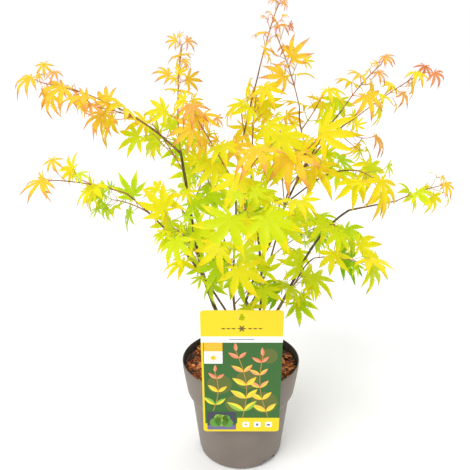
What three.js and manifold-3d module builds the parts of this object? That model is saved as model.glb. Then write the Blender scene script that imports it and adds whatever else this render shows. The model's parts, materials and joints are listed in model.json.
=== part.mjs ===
// A young japanese maple in a nursery pot: a short trunk that forks into slim stems,
// boughs, and sprays of palmate leaves, in potting mix, with a plant card on the rim.
// Millimetres, +Z up. The origin is the centre of the pot's flat underside, and the
// card is on the -Y side, which is the front.

import * as THREE from 'three';
import { mergeVertices } from 'three/addons/utils/BufferGeometryUtils.js';
import Module from 'manifold-3d';

const wasm = await Module();
wasm.setup();

// Clear gap between pieces that touch on the real plant
const GAP = 0.3;

// Pot: a round tapered pot with a wide collar over a narrower body
const POT_HEIGHT = 165;
const RIM_RADIUS = 95;
const LIP_DEPTH = 12;
const LIP_FOOT_RADIUS = 94.2;
const COLLAR_DEPTH = 53;
const COLLAR_FOOT_RADIUS = 87.8;
const SHOULDER_DEPTH = 64;
const BODY_TOP_RADIUS = 80.5;
const BASE_RADIUS = 68.5;
const POT_WALL = 2;
const POT_FLOOR = 2.5;
const POT_SIDES = 32;
const NOTCH_COUNT = 3;
const NOTCH_AZIMUTH = -49;
const NOTCH_WIDTH = 30;
const NOTCH_HEIGHT = 9;
const NOTCH_DEPTH = 20;

// Potting mix: fills the pot to a little below its rim
const MIX_DEPTH = 14;
const MIX_TOP = POT_HEIGHT - MIX_DEPTH;

// Plant card: a flat card that leans on the collar and hooks over the rim
const CARD_WIDTH = 114;
const CARD_ABOVE_RIM = 137;
const CARD_BELOW_RIM = 78;
const CARD_THICKNESS = 1;
const CARD_CORNER = 5;
const CORNER_STEPS = 3;
const CARD_LEAN = THREE.MathUtils.degToRad(7.4);
const HANG_HOLE_DROP = 12;
const HANG_HOLE_RADIUS = 4.5;
const HANG_SLOT_WIDTH = 3.4;
const HANG_SLOT_HEIGHT = 7;
const HOOK_WIDTH = 24;
const HOOK_REACH = 4.7;
const HOOK_DROP = 11.5;
const HOOK_FLARE = 1;

// Trunk: from the flat cut at the mix to its fork, with a root flare
const TRUNK_FOOT = [3, 2];
const TRUNK_TOP = [0, 2, 184];
const TRUNK_PROFILE = [
  { share: 0, radius: 10.5 },
  { share: 0.12, radius: 8.6 },
  { share: 0.32, radius: 7.2 },
  { share: 0.7, radius: 6.4 },
  { share: 1, radius: 5.4 },
];
const TRUNK_SIDES = 12;

// Limbs. Each grows from a parent at a share of the parent's length, or from the
// trunk's head, to its own tip. low and high bow it off the straight line at a third
// and at two thirds of its length, and radius is at its foot and at its tip.
const HEAD = [0, 2, 177];
const LIMBS = [
  {
    name: 'stem_left', foot: HEAD, tip: [-89, 0, 501],
    low: [-41, -4, -13], high: [-10, -12, 0], radius: [3.3, 1.9],
  },
  {
    name: 'stem_right', foot: HEAD, tip: [154, -34, 420],
    low: [29, 6, -25], high: [-28, -11, 29], radius: [2.7, 1.5],
  },
  {
    name: 'stem_middle', foot: HEAD, tip: [-7, -6, 232],
    low: [3, 0, 0], high: [3, 0, 0], radius: [3, 2.3],
  },
  {
    name: 'stem_centre', foot: HEAD, tip: [15, -20, 504],
    low: [66, 45, -53], high: [-6, -10, 30], radius: [2.3, 1.3],
  },
  {
    name: 'stem_back', foot: HEAD, tip: [12, 42, 240],
    low: [-4, 8, -3], high: [-2, 2, 4], radius: [2.8, 2.1],
  },
  {
    name: 'stem_tall', parent: 'stem_middle', at: 1, tip: [-11, -28, 460],
    low: [-13, 12, 1], high: [9, 7, 2], radius: [2, 1.2],
  },
  {
    name: 'stem_front_left', parent: 'stem_middle', at: 0.62, tip: [-153, -80, 454],
    low: [10, -12, 6], high: [17, 5, 12], radius: [1.8, 1.1],
  },
  {
    name: 'stem_right_inner', parent: 'stem_middle', at: 0.82, tip: [79, -44, 470],
    low: [-8, -2, 3], high: [-5, 1, 2], radius: [2.1, 1.4],
  },
  {
    name: 'stem_back_left', parent: 'stem_back', at: 1, tip: [-49, 125, 416],
    low: [-17, 21, -18], high: [0, 15, -6], radius: [2, 1.2],
  },
  {
    name: 'stem_back_right', parent: 'stem_back', at: 0.8, tip: [85, 120, 426],
    low: [20, 26, -23], high: [5, 27, -11], radius: [2, 1.2],
  },
  {
    name: 'bough_upper_left', parent: 'stem_left', at: 0.985, tip: [-212, 30, 573],
    low: [7, -2, 9], high: [4, 0, 9], radius: [1.6, 1],
  },
  {
    name: 'bough_crown_tip', parent: 'stem_tall', at: 0.97, tip: [22, -4, 603],
    low: [-4, 6, -1], high: [-2, 0, 1], radius: [1.2, 0.9],
  },
  {
    name: 'bough_tall_right', parent: 'stem_right_inner', at: 1, tip: [80, -18, 561],
    low: [24, 5, -4], high: [-4, 3, -1], radius: [1.3, 0.9],
  },
  {
    name: 'bough_right_upper', parent: 'stem_right_inner', at: 0.95, tip: [129, -66, 561],
    low: [-2, -2, 0], high: [-7, -3, 4], radius: [1.3, 0.9],
  },
  {
    name: 'bough_far_right', parent: 'stem_right_inner', at: 0.9, tip: [165, 20, 544],
    low: [-8, 9, 8], high: [-10, 3, 13], radius: [1.3, 0.9],
  },
  {
    name: 'bough_right_mid', parent: 'stem_right_inner', at: 0.85, tip: [139, -85, 486],
    low: [-4, -6, 2], high: [-9, 2, 15], radius: [1.2, 0.9],
  },
  {
    name: 'bough_right_end', parent: 'stem_right', at: 1, tip: [222, -28, 432],
    low: [0, 1, 0], high: [0, 1, 0], radius: [1.4, 1],
  },
  {
    name: 'bough_right_low', parent: 'stem_right', at: 0.45, tip: [101, -70, 360],
    low: [2, -4, -3], high: [-6, 2, 5], radius: [1.3, 0.9],
  },
  {
    name: 'bough_front_centre', parent: 'stem_tall', at: 0.72, tip: [2, -110, 452],
    low: [2, -8, 6], high: [1, -3, 2], radius: [1.2, 0.9],
  },
  {
    name: 'bough_front_right', parent: 'stem_right_inner', at: 0.5, tip: [47, -115, 453],
    low: [6, -12, -4], high: [6, -4, 2], radius: [1.3, 0.9],
  },
];
const STEM_SIDES = 6;
const STEM_STEP = 34;

// Sprays of leaves. The main shoot of each grows from a share of its limb's length to
// its tip, bowed by bow, with opposite pairs of leaves along it. leaf is the length of
// a leaf at the foot and at the tip, face the azimuth that the leaves turn to, and
// droop how far they hang. twigs is how many of the first nodes bear side twigs, and
// seed picks the spray's own stream of random numbers.
const SPRAYS = [
  {
    name: 'spray_left_end', limb: 'bough_upper_left', at: 1, tip: [-287, 42, 593], bow: [0, 0, 4],
    pairs: 3, leaf: [54, 38], face: -105, droop: 1.2, twigs: 0, seed: 59,
  },
  {
    name: 'spray_upper_left', limb: 'bough_upper_left', at: 0.45, tip: [-205, -10, 562], bow: [0, 0, 6],
    pairs: 3, leaf: [50, 46], face: -100, droop: 0.7, twigs: 0, seed: 5,
  },
  {
    name: 'spray_left_top', limb: 'stem_left', at: 1, tip: [-83, 10, 645], bow: [-6, 0, 0],
    pairs: 5, leaf: [46, 22], face: -95, droop: 0.6, twigs: 0, seed: 28,
  },
  {
    name: 'spray_left_shoulder', limb: 'stem_left', at: 0.9, tip: [-132, 36, 534], bow: [0, 4, 4],
    pairs: 3, leaf: [48, 44], face: -120, droop: 0.6, twigs: 1, seed: 28,
  },
  {
    name: 'spray_left_inner', limb: 'stem_left', at: 0.74, tip: [-53, 45, 473], bow: [4, 4, 4],
    pairs: 3, leaf: [44, 40], face: -80, droop: 0.6, twigs: 0, seed: 28,
  },
  {
    name: 'spray_left_mid', limb: 'stem_left', at: 0.68, tip: [-106, -55, 445], bow: [0, 0, 6],
    pairs: 2, leaf: [44, 42], face: -110, droop: 1.0, twigs: 0, seed: 33,
  },
  {
    name: 'spray_front_left_end', limb: 'stem_front_left', at: 1, tip: [-239, -112, 478], bow: [0, 0, 5],
    pairs: 3, leaf: [42, 36], face: -115, droop: 1.0, twigs: 0, seed: 59,
  },
  {
    name: 'spray_front_left', limb: 'stem_front_left', at: 0.86, tip: [-181, -50, 439], bow: [0, 0, 5],
    pairs: 3, leaf: [40, 34], face: -120, droop: 0.6, twigs: 0, seed: 10,
  },
  {
    name: 'spray_low_left', limb: 'stem_left', at: 0.5, tip: [-90, -105, 414], bow: [0, 0, 12],
    pairs: 3, leaf: [46, 42], face: -110, droop: 0.5, twigs: 0, seed: 21,
  },
  {
    name: 'spray_left_foot', limb: 'stem_left', at: 0.36, tip: [-62, -72, 364], bow: [0, -4, 6],
    pairs: 2, leaf: [42, 42], face: -100, droop: 0.2, twigs: 0, seed: 15,
  },
  {
    name: 'spray_peach', limb: 'stem_tall', at: 1, tip: [-63, -95, 563], bow: [2, -4, -2],
    pairs: 4, leaf: [46, 34], face: -100, droop: 1.1, twigs: 0, seed: 30,
  },
  {
    name: 'spray_crown_tip', limb: 'bough_crown_tip', at: 1, tip: [49, 5, 697], bow: [-2, 0, 0],
    pairs: 4, leaf: [26, 14], face: -80, droop: 0.7, twigs: 0, seed: 9,
  },
  {
    name: 'spray_crown_low', limb: 'bough_crown_tip', at: 0.5, tip: [0, 32, 566], bow: [-2, 2, 2],
    pairs: 2, leaf: [42, 42], face: -100, droop: 1.2, twigs: 0, seed: 13,
  },
  {
    name: 'spray_centre_top', limb: 'stem_centre', at: 1, tip: [20, -30, 583], bow: [-2, -2, 0],
    pairs: 3, leaf: [46, 34], face: -90, droop: 1.2, twigs: 0, seed: 29,
  },
  {
    name: 'spray_tall_right', limb: 'bough_tall_right', at: 1, tip: [46, 0, 659], bow: [4, 0, 0],
    pairs: 4, leaf: [46, 24], face: -85, droop: 0.7, twigs: 0, seed: 20,
  },
  {
    name: 'spray_right_shoulder', limb: 'bough_tall_right', at: 0.7, tip: [112, 8, 572], bow: [2, 0, 0],
    pairs: 2, leaf: [40, 40], face: -70, droop: 0.8, twigs: 0, seed: 22,
  },
  {
    name: 'spray_right_upper', limb: 'bough_right_upper', at: 1, tip: [177, -60, 618], bow: [-3, 0, 2],
    pairs: 4, leaf: [40, 18], face: -80, droop: 1.2, twigs: 0, seed: 56,
  },
  {
    name: 'spray_far_right', limb: 'bough_far_right', at: 1, tip: [266, 35, 610], bow: [-2, 0, 3],
    pairs: 4, leaf: [38, 26], face: -70, droop: 1.2, twigs: 0, seed: 15,
  },
  {
    name: 'spray_far_right_low', limb: 'bough_far_right', at: 0.7, tip: [188, 60, 512], bow: [0, 2, 4],
    pairs: 2, leaf: [44, 42], face: -60, droop: 1.1, twigs: 1, seed: 30,
  },
  {
    name: 'spray_right_mid', limb: 'bough_right_mid', at: 1, tip: [163, -110, 481], bow: [0, 0, 4],
    pairs: 2, leaf: [42, 42], face: -75, droop: 1.4, twigs: 0, seed: 56,
  },
  {
    name: 'spray_right_knuckle', limb: 'stem_right_inner', at: 0.97, tip: [80, -100, 514], bow: [0, 0, 6],
    pairs: 2, leaf: [50, 50], face: -85, droop: 1.1, twigs: 0, seed: 9,
  },
  {
    name: 'spray_right_end', limb: 'bough_right_end', at: 1, tip: [283, -20, 452], bow: [0, 0, 3],
    pairs: 3, leaf: [42, 24], face: -70, droop: 1.2, twigs: 0, seed: 3,
  },
  {
    name: 'spray_right_side', limb: 'stem_right', at: 0.9, tip: [128, -84, 396], bow: [0, 0, 5],
    pairs: 2, leaf: [40, 40], face: -80, droop: 1.0, twigs: 0, seed: 34,
  },
  {
    name: 'spray_right_low', limb: 'bough_right_low', at: 1, tip: [158, -100, 364], bow: [0, 0, 6],
    pairs: 3, leaf: [48, 44], face: -70, droop: 0.5, twigs: 0, seed: 26,
  },
  {
    name: 'spray_right_foot', limb: 'stem_right', at: 0.3, tip: [87, -55, 327], bow: [0, 0, 6],
    pairs: 3, leaf: [42, 40], face: -80, droop: 0.9, twigs: 0, seed: 35,
  },
  {
    name: 'spray_front_centre', limb: 'bough_front_centre', at: 1, tip: [2, -175, 455], bow: [0, 0, 8],
    pairs: 2, leaf: [46, 50], face: -90, droop: 1.1, twigs: 0, seed: 38,
  },
  {
    name: 'spray_front_right', limb: 'bough_front_right', at: 1, tip: [48, -165, 458], bow: [0, 0, 6],
    pairs: 2, leaf: [46, 48], face: -85, droop: 1.0, twigs: 0, seed: 37,
  },
  {
    name: 'spray_front_upper', limb: 'stem_tall', at: 0.93, tip: [25, -120, 514], bow: [0, 0, 6],
    pairs: 2, leaf: [46, 48], face: -90, droop: 0.7, twigs: 0, seed: 35,
  },
  {
    name: 'spray_front_low', limb: 'stem_tall', at: 0.3, tip: [-20, -115, 379], bow: [0, 0, 14],
    pairs: 3, leaf: [46, 46], face: -95, droop: 1.1, twigs: 0, seed: 32,
  },
  {
    name: 'spray_front_foot', limb: 'stem_tall', at: 0.12, tip: [26, -72, 322], bow: [0, 0, 6],
    pairs: 3, leaf: [36, 38], face: -90, droop: 0.9, twigs: 0, seed: 30,
  },
  {
    name: 'spray_back_left', limb: 'stem_back_left', at: 1, tip: [-78, 190, 448], bow: [0, 0, 8],
    pairs: 4, leaf: [46, 42], face: 110, droop: 0.5, twigs: 1, seed: 13,
  },
  {
    name: 'spray_back_right', limb: 'stem_back_right', at: 1, tip: [140, 172, 462], bow: [0, 0, 8],
    pairs: 4, leaf: [46, 40], face: 65, droop: 0.5, twigs: 1, seed: 25,
  },
  {
    name: 'spray_back_high', limb: 'stem_back_right', at: 0.85, tip: [64, 104, 532], bow: [-2, 0, 0],
    pairs: 4, leaf: [44, 40], face: 90, droop: 0.9, twigs: 0, seed: 4,
  },
  {
    name: 'spray_back_middle', limb: 'stem_back_left', at: 0.6, tip: [23, 196, 400], bow: [0, 0, 10],
    pairs: 4, leaf: [46, 44], face: 90, droop: 0.6, twigs: 0, seed: 9,
  },
  {
    name: 'spray_back_low_right', limb: 'stem_back_right', at: 0.45, tip: [158, 160, 345], bow: [0, 0, 12],
    pairs: 4, leaf: [44, 42], face: 45, droop: 1.0, twigs: 0, seed: 4,
  },
  {
    name: 'spray_back_low_left', limb: 'stem_back_left', at: 0.4, tip: [-95, 150, 335], bow: [0, 0, 12],
    pairs: 4, leaf: [44, 42], face: 130, droop: 0.7, twigs: 0, seed: 8,
  },
];
const SHOOT_SIDES = 4;
const SHOOT_STEP = 30;
const SHOOT_FOOT_RADIUS = 1.1;
const SHOOT_TIP_RADIUS = 0.7;
const FIRST_NODE = 0.3;
const NEAR_UPRIGHT = 0.2;
const PAIR_TURN = 90;
const TURN_SPREAD = 36;
const SIZE_SPREAD = 0.12;
const TWIG_LENGTH = 46;
const LEAST_TWIG = 0.7;
const TWIG_SPREAD = 0.6;
const TWIG_RADIUS = 0.8;
const TWIG_TURN = 42;
const TWIG_SIDES = 3;
const TRIES = 8;
const TRY_SHRINK = 0.03;
const OWN_SHARE = 0.4;
const CLEARANCE = 0.45;
const SPRAY_ROOM = 125;

// Leaf: five pointed lobes spread from the end of a slim stalk. Each row is the turn
// from the middle lobe and the share of the leaf's length, point and notch by turns.
const LEAF_OUTLINE = [
  { turn: -92, reach: 0.66 },
  { turn: -66, reach: 0.36 },
  { turn: -43, reach: 0.9 },
  { turn: -21, reach: 0.43 },
  { turn: 0, reach: 1 },
  { turn: 21, reach: 0.43 },
  { turn: 43, reach: 0.9 },
  { turn: 66, reach: 0.36 },
  { turn: 92, reach: 0.66 },
];
const LEAF_THICKNESS = 0.03;
const LEAF_THINNEST = 1.2;
const LEAF_CROWN = 0.2;
const LEAF_ARCH = 0.1;
const STALK_RADIUS = 0.7;
const STALK_FOOT_RADIUS = 0.45;
const STALK_SHARE = 0.5;
const STALK_SHARE_SPREAD = 0.25;
const STALK_TURN = 52;
const STALK_TURN_SPREAD = 14;
const LEAST_DROOP = 0.6;
const DROOP_SPREAD = 0.8;
const LIGHT_LIFT = 35;
const LIGHT_SPREAD = 0.45;
const POINT_SPACING = 3.5;
const POINT_RADIUS = 1.7;

const UP = new THREE.Vector3(0, 0, 1);
const toVector = ([x, y, z]) => new THREE.Vector3(x, y, z);
const radians = THREE.MathUtils.degToRad;
const mix = THREE.MathUtils.lerp;

// A closed geometry as a solid, and a solid as a closed geometry
function solidOf(geometry) {
  const bare = geometry.clone();
  bare.deleteAttribute('normal');
  bare.deleteAttribute('uv');
  const merged = mergeVertices(bare, 1e-4);
  return new wasm.Manifold(new wasm.Mesh({
    numProp: 3,
    vertProperties: new Float32Array(merged.attributes.position.array),
    triVerts: new Uint32Array(merged.index.array),
  }));
}

function geometryOf(solid) {
  const mesh = solid.getMesh();
  const geometry = new THREE.BufferGeometry();
  geometry.setAttribute('position', new THREE.BufferAttribute(mesh.vertProperties, 3));
  geometry.setIndex(new THREE.BufferAttribute(mesh.triVerts, 1));
  const flat = geometry.toNonIndexed();
  flat.computeVertexNormals();
  return flat;
}

// The largest body of a solid, so that a scrap left by a cut is dropped
function mainBody(solid) {
  const bodies = solid.decompose();
  bodies.sort((a, b) => b.volume() - a.volume());
  return bodies[0];
}

// A stream of even random numbers from a seed
const DEAL_FACTOR = 48271;
const DEAL_MODULUS = 2147483647;
const DEAL_START = 104729;

function dealer(seed) {
  let state = (seed * DEAL_START) % DEAL_MODULUS;
  return () => {
    state = (state * DEAL_FACTOR) % DEAL_MODULUS;
    return state / DEAL_MODULUS;
  };
}

// Limb shapes
function limbCurve(foot, tip, low, high) {
  const chord = tip.clone().sub(foot);
  return new THREE.CubicBezierCurve3(
    foot,
    foot.clone().addScaledVector(chord, 1 / 3).add(low),
    foot.clone().addScaledVector(chord, 2 / 3).add(high),
    tip,
  );
}

// A straight round bar bent along a curve. radiusAt gives the radius at each share of
// the length, and grow makes the bar thicker and longer by that much all round.
function bentBar(curve, radiusAt, sides, steps, grow = 0) {
  const bar = new THREE.CylinderGeometry(1, 1, 1, sides, steps);
  const places = curve.getSpacedPoints(steps);
  const frames = curve.computeFrenetFrames(steps);
  const position = bar.attributes.position;
  for (let i = 0; i < position.count; i += 1) {
    const share = position.getY(i) + 0.5;
    const step = Math.round(share * steps);
    const radius = radiusAt(share) + grow / Math.cos(Math.PI / sides);
    const place = places[step].clone();
    place.addScaledVector(frames.normals[step], position.getX(i) * radius);
    place.addScaledVector(frames.binormals[step], -position.getZ(i) * radius);
    if (step === 0) place.addScaledVector(frames.tangents[step], -grow);
    if (step === steps) place.addScaledVector(frames.tangents[step], grow);
    position.setXYZ(i, place.x, place.y, place.z);
  }
  return bar;
}

const taper = ([foot, tip]) => (share) => mix(foot, tip, share);

// Points that stand for a piece when pieces are kept apart: each has a radius, and
// the cloud has the middle and the reach that a quick test uses
function cloudOf(points, owner) {
  const middle = new THREE.Vector3();
  points.forEach((point) => middle.add(point.place));
  middle.divideScalar(points.length);
  const reach = Math.max(...points.map((point) => middle.distanceTo(point.place) + point.radius));
  return { points, middle, reach, owner };
}

function curveCloud(curve, radiusAt, owner) {
  const steps = Math.ceil(curve.getLength() / 2);
  const places = curve.getSpacedPoints(steps);
  const points = places.map((place, i) => ({ place, radius: radiusAt(i / steps) }));
  return cloudOf(points, owner);
}

function meets(cloud, other) {
  if (cloud.middle.distanceTo(other.middle) > cloud.reach + other.reach + CLEARANCE) return false;
  return cloud.points.some((a) => other.points.some((b) => {
    const apart = a.radius + b.radius + CLEARANCE;
    return a.place.distanceToSquared(b.place) < apart * apart;
  }));
}

// Pot
function potProfile() {
  const outer = [
    [BASE_RADIUS, 0],
    [BODY_TOP_RADIUS, POT_HEIGHT - SHOULDER_DEPTH],
    [COLLAR_FOOT_RADIUS, POT_HEIGHT - COLLAR_DEPTH],
    [LIP_FOOT_RADIUS, POT_HEIGHT - LIP_DEPTH],
    [RIM_RADIUS, POT_HEIGHT],
  ];
  return outer.map(([radius, height]) => new THREE.Vector2(radius, height));
}

function innerProfile(gap, floor, top) {
  const wall = potProfile().map((point) => new THREE.Vector2(point.x - POT_WALL - gap, point.y));
  const radiusAt = (height) => {
    const upper = wall.findIndex((point) => point.y >= height);
    const above = wall[Math.max(upper, 1)];
    const below = wall[Math.max(upper, 1) - 1];
    return mix(below.x, above.x, (height - below.y) / (above.y - below.y));
  };
  const between = wall.filter((point) => point.y > floor && point.y < top);
  return [new THREE.Vector2(radiusAt(floor), floor), ...between, new THREE.Vector2(radiusAt(top), top)];
}

// A turned shape from a profile in radius and height, which starts and ends on the axis
function turned(profile, sides) {
  const lathe = new THREE.LatheGeometry(profile, sides);
  return lathe.rotateX(Math.PI / 2);
}

// The drainage notches that reach in under the pot from its foot, grown by a gap
function cutNotches(solid, gap) {
  const width = NOTCH_WIDTH + 2 * gap;
  const depth = 2 * (NOTCH_DEPTH + gap);
  const height = 2 * (NOTCH_HEIGHT + gap);
  let cut = solid;
  for (let i = 0; i < NOTCH_COUNT; i += 1) {
    const notch = new THREE.BoxGeometry(width, depth, height);
    notch.translate(0, -BASE_RADIUS, 0);
    notch.rotateZ(radians(NOTCH_AZIMUTH + 90 + (i * 360) / NOTCH_COUNT));
    cut = cut.subtract(solidOf(notch));
  }
  return cut;
}

function potSolid() {
  const inner = innerProfile(0, POT_FLOOR, POT_HEIGHT);
  const profile = [
    new THREE.Vector2(0, 0),
    ...potProfile(),
    ...inner.reverse(),
    new THREE.Vector2(0, POT_FLOOR),
  ];
  return cutNotches(solidOf(turned(profile, POT_SIDES)), 0);
}

function mixSolid() {
  const side = innerProfile(GAP, POT_FLOOR + GAP, MIX_TOP);
  const profile = [
    new THREE.Vector2(0, POT_FLOOR + GAP),
    ...side,
    new THREE.Vector2(0, MIX_TOP),
  ];
  return cutNotches(solidOf(turned(profile, POT_SIDES)), GAP);
}

// Plant card, modelled upright with its back on the plane y = 0 and its rim line at z = 0
function cardSolid() {
  const half = CARD_WIDTH / 2;
  const corner = CARD_CORNER;
  const outline = new THREE.Shape();
  outline.moveTo(-half + corner, -CARD_BELOW_RIM);
  outline.lineTo(half - corner, -CARD_BELOW_RIM);
  outline.absarc(half - corner, -CARD_BELOW_RIM + corner, corner, -Math.PI / 2, 0);
  outline.absarc(half - corner, CARD_ABOVE_RIM - corner, corner, 0, Math.PI / 2);
  outline.absarc(-half + corner, CARD_ABOVE_RIM - corner, corner, Math.PI / 2, Math.PI);
  outline.absarc(-half + corner, -CARD_BELOW_RIM + corner, corner, Math.PI, Math.PI * 1.5);
  const hole = new THREE.Path();
  const holeHeight = CARD_ABOVE_RIM - HANG_HOLE_DROP;
  const slotEdge = Math.asin(HANG_SLOT_WIDTH / 2 / HANG_HOLE_RADIUS);
  hole.moveTo(HANG_SLOT_WIDTH / 2, holeHeight + HANG_SLOT_HEIGHT);
  hole.lineTo(-HANG_SLOT_WIDTH / 2, holeHeight + HANG_SLOT_HEIGHT);
  hole.absarc(0, holeHeight, HANG_HOLE_RADIUS, Math.PI / 2 + slotEdge, Math.PI * 2.5 - slotEdge);
  outline.holes.push(hole);
  const card = new THREE.ExtrudeGeometry(outline, {
    depth: CARD_THICKNESS,
    bevelEnabled: false,
    curveSegments: CORNER_STEPS,
  });
  card.rotateX(Math.PI / 2);
  card.rotateX(CARD_LEAN);

  // The hook stands level while the card leans, so it is drawn in the pot's own frame
  const hookTop = GAP + CARD_THICKNESS;
  const hook = new THREE.Shape();
  hook.moveTo(-CARD_THICKNESS, GAP);
  hook.lineTo(HOOK_REACH, GAP);
  hook.lineTo(HOOK_REACH + HOOK_FLARE, -HOOK_DROP);
  hook.lineTo(HOOK_REACH + HOOK_FLARE + CARD_THICKNESS, -HOOK_DROP);
  hook.lineTo(HOOK_REACH + CARD_THICKNESS, hookTop);
  hook.lineTo(-CARD_THICKNESS, hookTop);
  const hookBar = new THREE.ExtrudeGeometry(hook, { depth: HOOK_WIDTH, bevelEnabled: false });
  hookBar.translate(0, 0, -HOOK_WIDTH / 2);
  hookBar.rotateX(Math.PI / 2);
  hookBar.rotateZ(Math.PI / 2);
  return solidOf(card).add(solidOf(hookBar));
}

// How far in front of the axis the card's back meets the level of the rim
const CARD_FRONT = LIP_FOOT_RADIUS + LIP_DEPTH * Math.tan(CARD_LEAN) + GAP / Math.cos(CARD_LEAN);

// Trunk
const trunkFoot = new THREE.Vector3(TRUNK_FOOT[0], TRUNK_FOOT[1], MIX_TOP + GAP);
const trunkCurve = new THREE.LineCurve3(trunkFoot, toVector(TRUNK_TOP));

function trunkRadius(share) {
  const upper = Math.max(TRUNK_PROFILE.findIndex((ring) => ring.share >= share), 1);
  const above = TRUNK_PROFILE[upper];
  const below = TRUNK_PROFILE[upper - 1];
  return mix(below.radius, above.radius, (share - below.share) / (above.share - below.share));
}

// The trunk as a turned profile sheared along its lean, so that its foot is level
function trunkGeometry(grow = 0) {
  const height = TRUNK_TOP[2] - trunkFoot.z;
  const profile = TRUNK_PROFILE.map(({ share, radius }) => {
    const lengthen = share === 1 ? grow : 0;
    return new THREE.Vector2(radius + grow / Math.cos(Math.PI / TRUNK_SIDES), share * height + lengthen);
  });
  profile.unshift(new THREE.Vector2(0, 0));
  profile.push(new THREE.Vector2(0, height + grow));
  const trunk = turned(profile, TRUNK_SIDES);
  const lean = new THREE.Matrix4().makeShear(
    0, 0, 0, 0,
    (TRUNK_TOP[0] - TRUNK_FOOT[0]) / height,
    (TRUNK_TOP[1] - TRUNK_FOOT[1]) / height,
  );
  return trunk.applyMatrix4(lean).translate(trunkFoot.x, trunkFoot.y, trunkFoot.z);
}

// Grow the limbs: each is cut clear of its parent and of the limbs grown before it
const limbs = new Map();
limbs.set('trunk', {
  curve: trunkCurve,
  radiusAt: trunkRadius,
  solid: solidOf(trunkGeometry()),
  grown: solidOf(trunkGeometry(GAP)),
});

function growLimb(limb) {
  const parent = limbs.get(limb.parent);
  const foot = parent ? parent.curve.getPointAt(limb.at) : toVector(limb.foot);
  const curve = limbCurve(foot, toVector(limb.tip), toVector(limb.low), toVector(limb.high));
  const steps = Math.max(3, Math.round(curve.getLength() / STEM_STEP));
  const radiusAt = taper(limb.radius);
  let solid = solidOf(bentBar(curve, radiusAt, STEM_SIDES, steps));
  for (const other of limbs.values()) solid = solid.subtract(other.grown);
  const grown = solidOf(bentBar(curve, radiusAt, STEM_SIDES, steps, GAP));
  limbs.set(limb.name, { curve, radiusAt, solid: mainBody(solid), grown });
}

LIMBS.forEach(growLimb);

// Leaf: a blade that is thickest at its crown and thins to its rim, and a stalk in one
// piece with it, from the notch at the blade's base back to the shoot
function leafPoint(leaf, turn, reach) {
  const span = reach * leaf.size;
  return leaf.joint.clone()
    .addScaledVector(leaf.axis, span * Math.cos(radians(turn)))
    .addScaledVector(leaf.side, span * Math.sin(radians(turn)))
    .addScaledVector(leaf.normal, -LEAF_ARCH * reach * span);
}

const leafRim = (leaf) => LEAF_OUTLINE.map(({ turn, reach }) => leafPoint(leaf, turn, reach));
const leafHalf = (leaf) => Math.max(LEAF_THICKNESS * leaf.size, LEAF_THINNEST) / 2;

// Four points round a place: above, on the side, below and on the other side
function stalkRing(place, above, side, radius) {
  return [above, side, above.clone().negate(), side.clone().negate()]
    .map((way) => place.clone().addScaledVector(way, radius));
}

function leafGeometry(leaf) {
  const along = leaf.out.clone().add(leaf.axis).normalize();
  const jointSide = leaf.side.clone().addScaledVector(along, -leaf.side.dot(along)).normalize();
  const footSide = leaf.side.clone().addScaledVector(leaf.out, -leaf.side.dot(leaf.out)).normalize();
  const points = [
    leafPoint(leaf, 0, LEAF_CROWN).addScaledVector(leaf.normal, leafHalf(leaf)),
    leafPoint(leaf, 0, LEAF_CROWN).addScaledVector(leaf.normal, -leafHalf(leaf)),
    ...stalkRing(leaf.joint, along.clone().cross(jointSide), jointSide, STALK_RADIUS),
    ...stalkRing(leaf.foot, leaf.out.clone().cross(footSide), footSide, STALK_FOOT_RADIUS),
    ...leafRim(leaf),
  ];
  const [crown, under, joint, foot, rim] = [0, 1, 2, 6, 10];
  const last = rim + LEAF_OUTLINE.length - 1;
  const faces = [];
  for (let i = rim; i < last; i += 1) faces.push([crown, i, i + 1], [under, i + 1, i]);
  const upperRing = [last, joint + 1, joint, joint + 3, rim];
  const lowerRing = [rim, joint + 3, joint + 2, joint + 1, last];
  for (let i = 0; i < upperRing.length - 1; i += 1) {
    faces.push([crown, upperRing[i], upperRing[i + 1]], [under, lowerRing[i], lowerRing[i + 1]]);
  }
  for (let i = 0; i < 4; i += 1) {
    const next = (i + 1) % 4;
    faces.push([joint + i, joint + next, foot + next], [joint + i, foot + next, foot + i]);
  }
  faces.push([foot, foot + 1, foot + 2], [foot, foot + 2, foot + 3]);
  return new THREE.BufferGeometry().setFromPoints(points).setIndex(faces.flat());
}

function leafCloud(leaf, owner) {
  const points = [{ place: leaf.joint, radius: POINT_RADIUS }];
  const rim = leafRim(leaf);
  for (let i = 0; i < rim.length - 1; i += 1) {
    const a = rim[i];
    const b = rim[i + 1];
    const rows = Math.ceil(Math.max(a.distanceTo(leaf.joint), b.distanceTo(leaf.joint)) / POINT_SPACING);
    for (let row = 1; row <= rows; row += 1) {
      const start = leaf.joint.clone().lerp(a, row / rows);
      const end = leaf.joint.clone().lerp(b, row / rows);
      const columns = Math.max(1, Math.ceil(start.distanceTo(end) / POINT_SPACING));
      for (let column = 0; column < columns; column += 1) {
        points.push({ place: start.clone().lerp(end, column / columns), radius: POINT_RADIUS });
      }
    }
  }
  return cloudOf(points, owner);
}

// The sides of a shoot: level across it, and at right angles to that
function shootSides(tangent) {
  const level = tangent.clone().cross(UP);
  if (level.length() < NEAR_UPRIGHT) level.set(1, 0, 0).addScaledVector(tangent, -tangent.x);
  level.normalize();
  return [level, level.clone().cross(tangent)];
}

function turnedOff(tangent, angle, around) {
  const [level, upright] = shootSides(tangent);
  const side = level.multiplyScalar(Math.cos(radians(around)))
    .addScaledVector(upright, Math.sin(radians(around)));
  return tangent.clone().multiplyScalar(Math.cos(radians(angle)))
    .addScaledVector(side, Math.sin(radians(angle)))
    .normalize();
}

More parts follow.
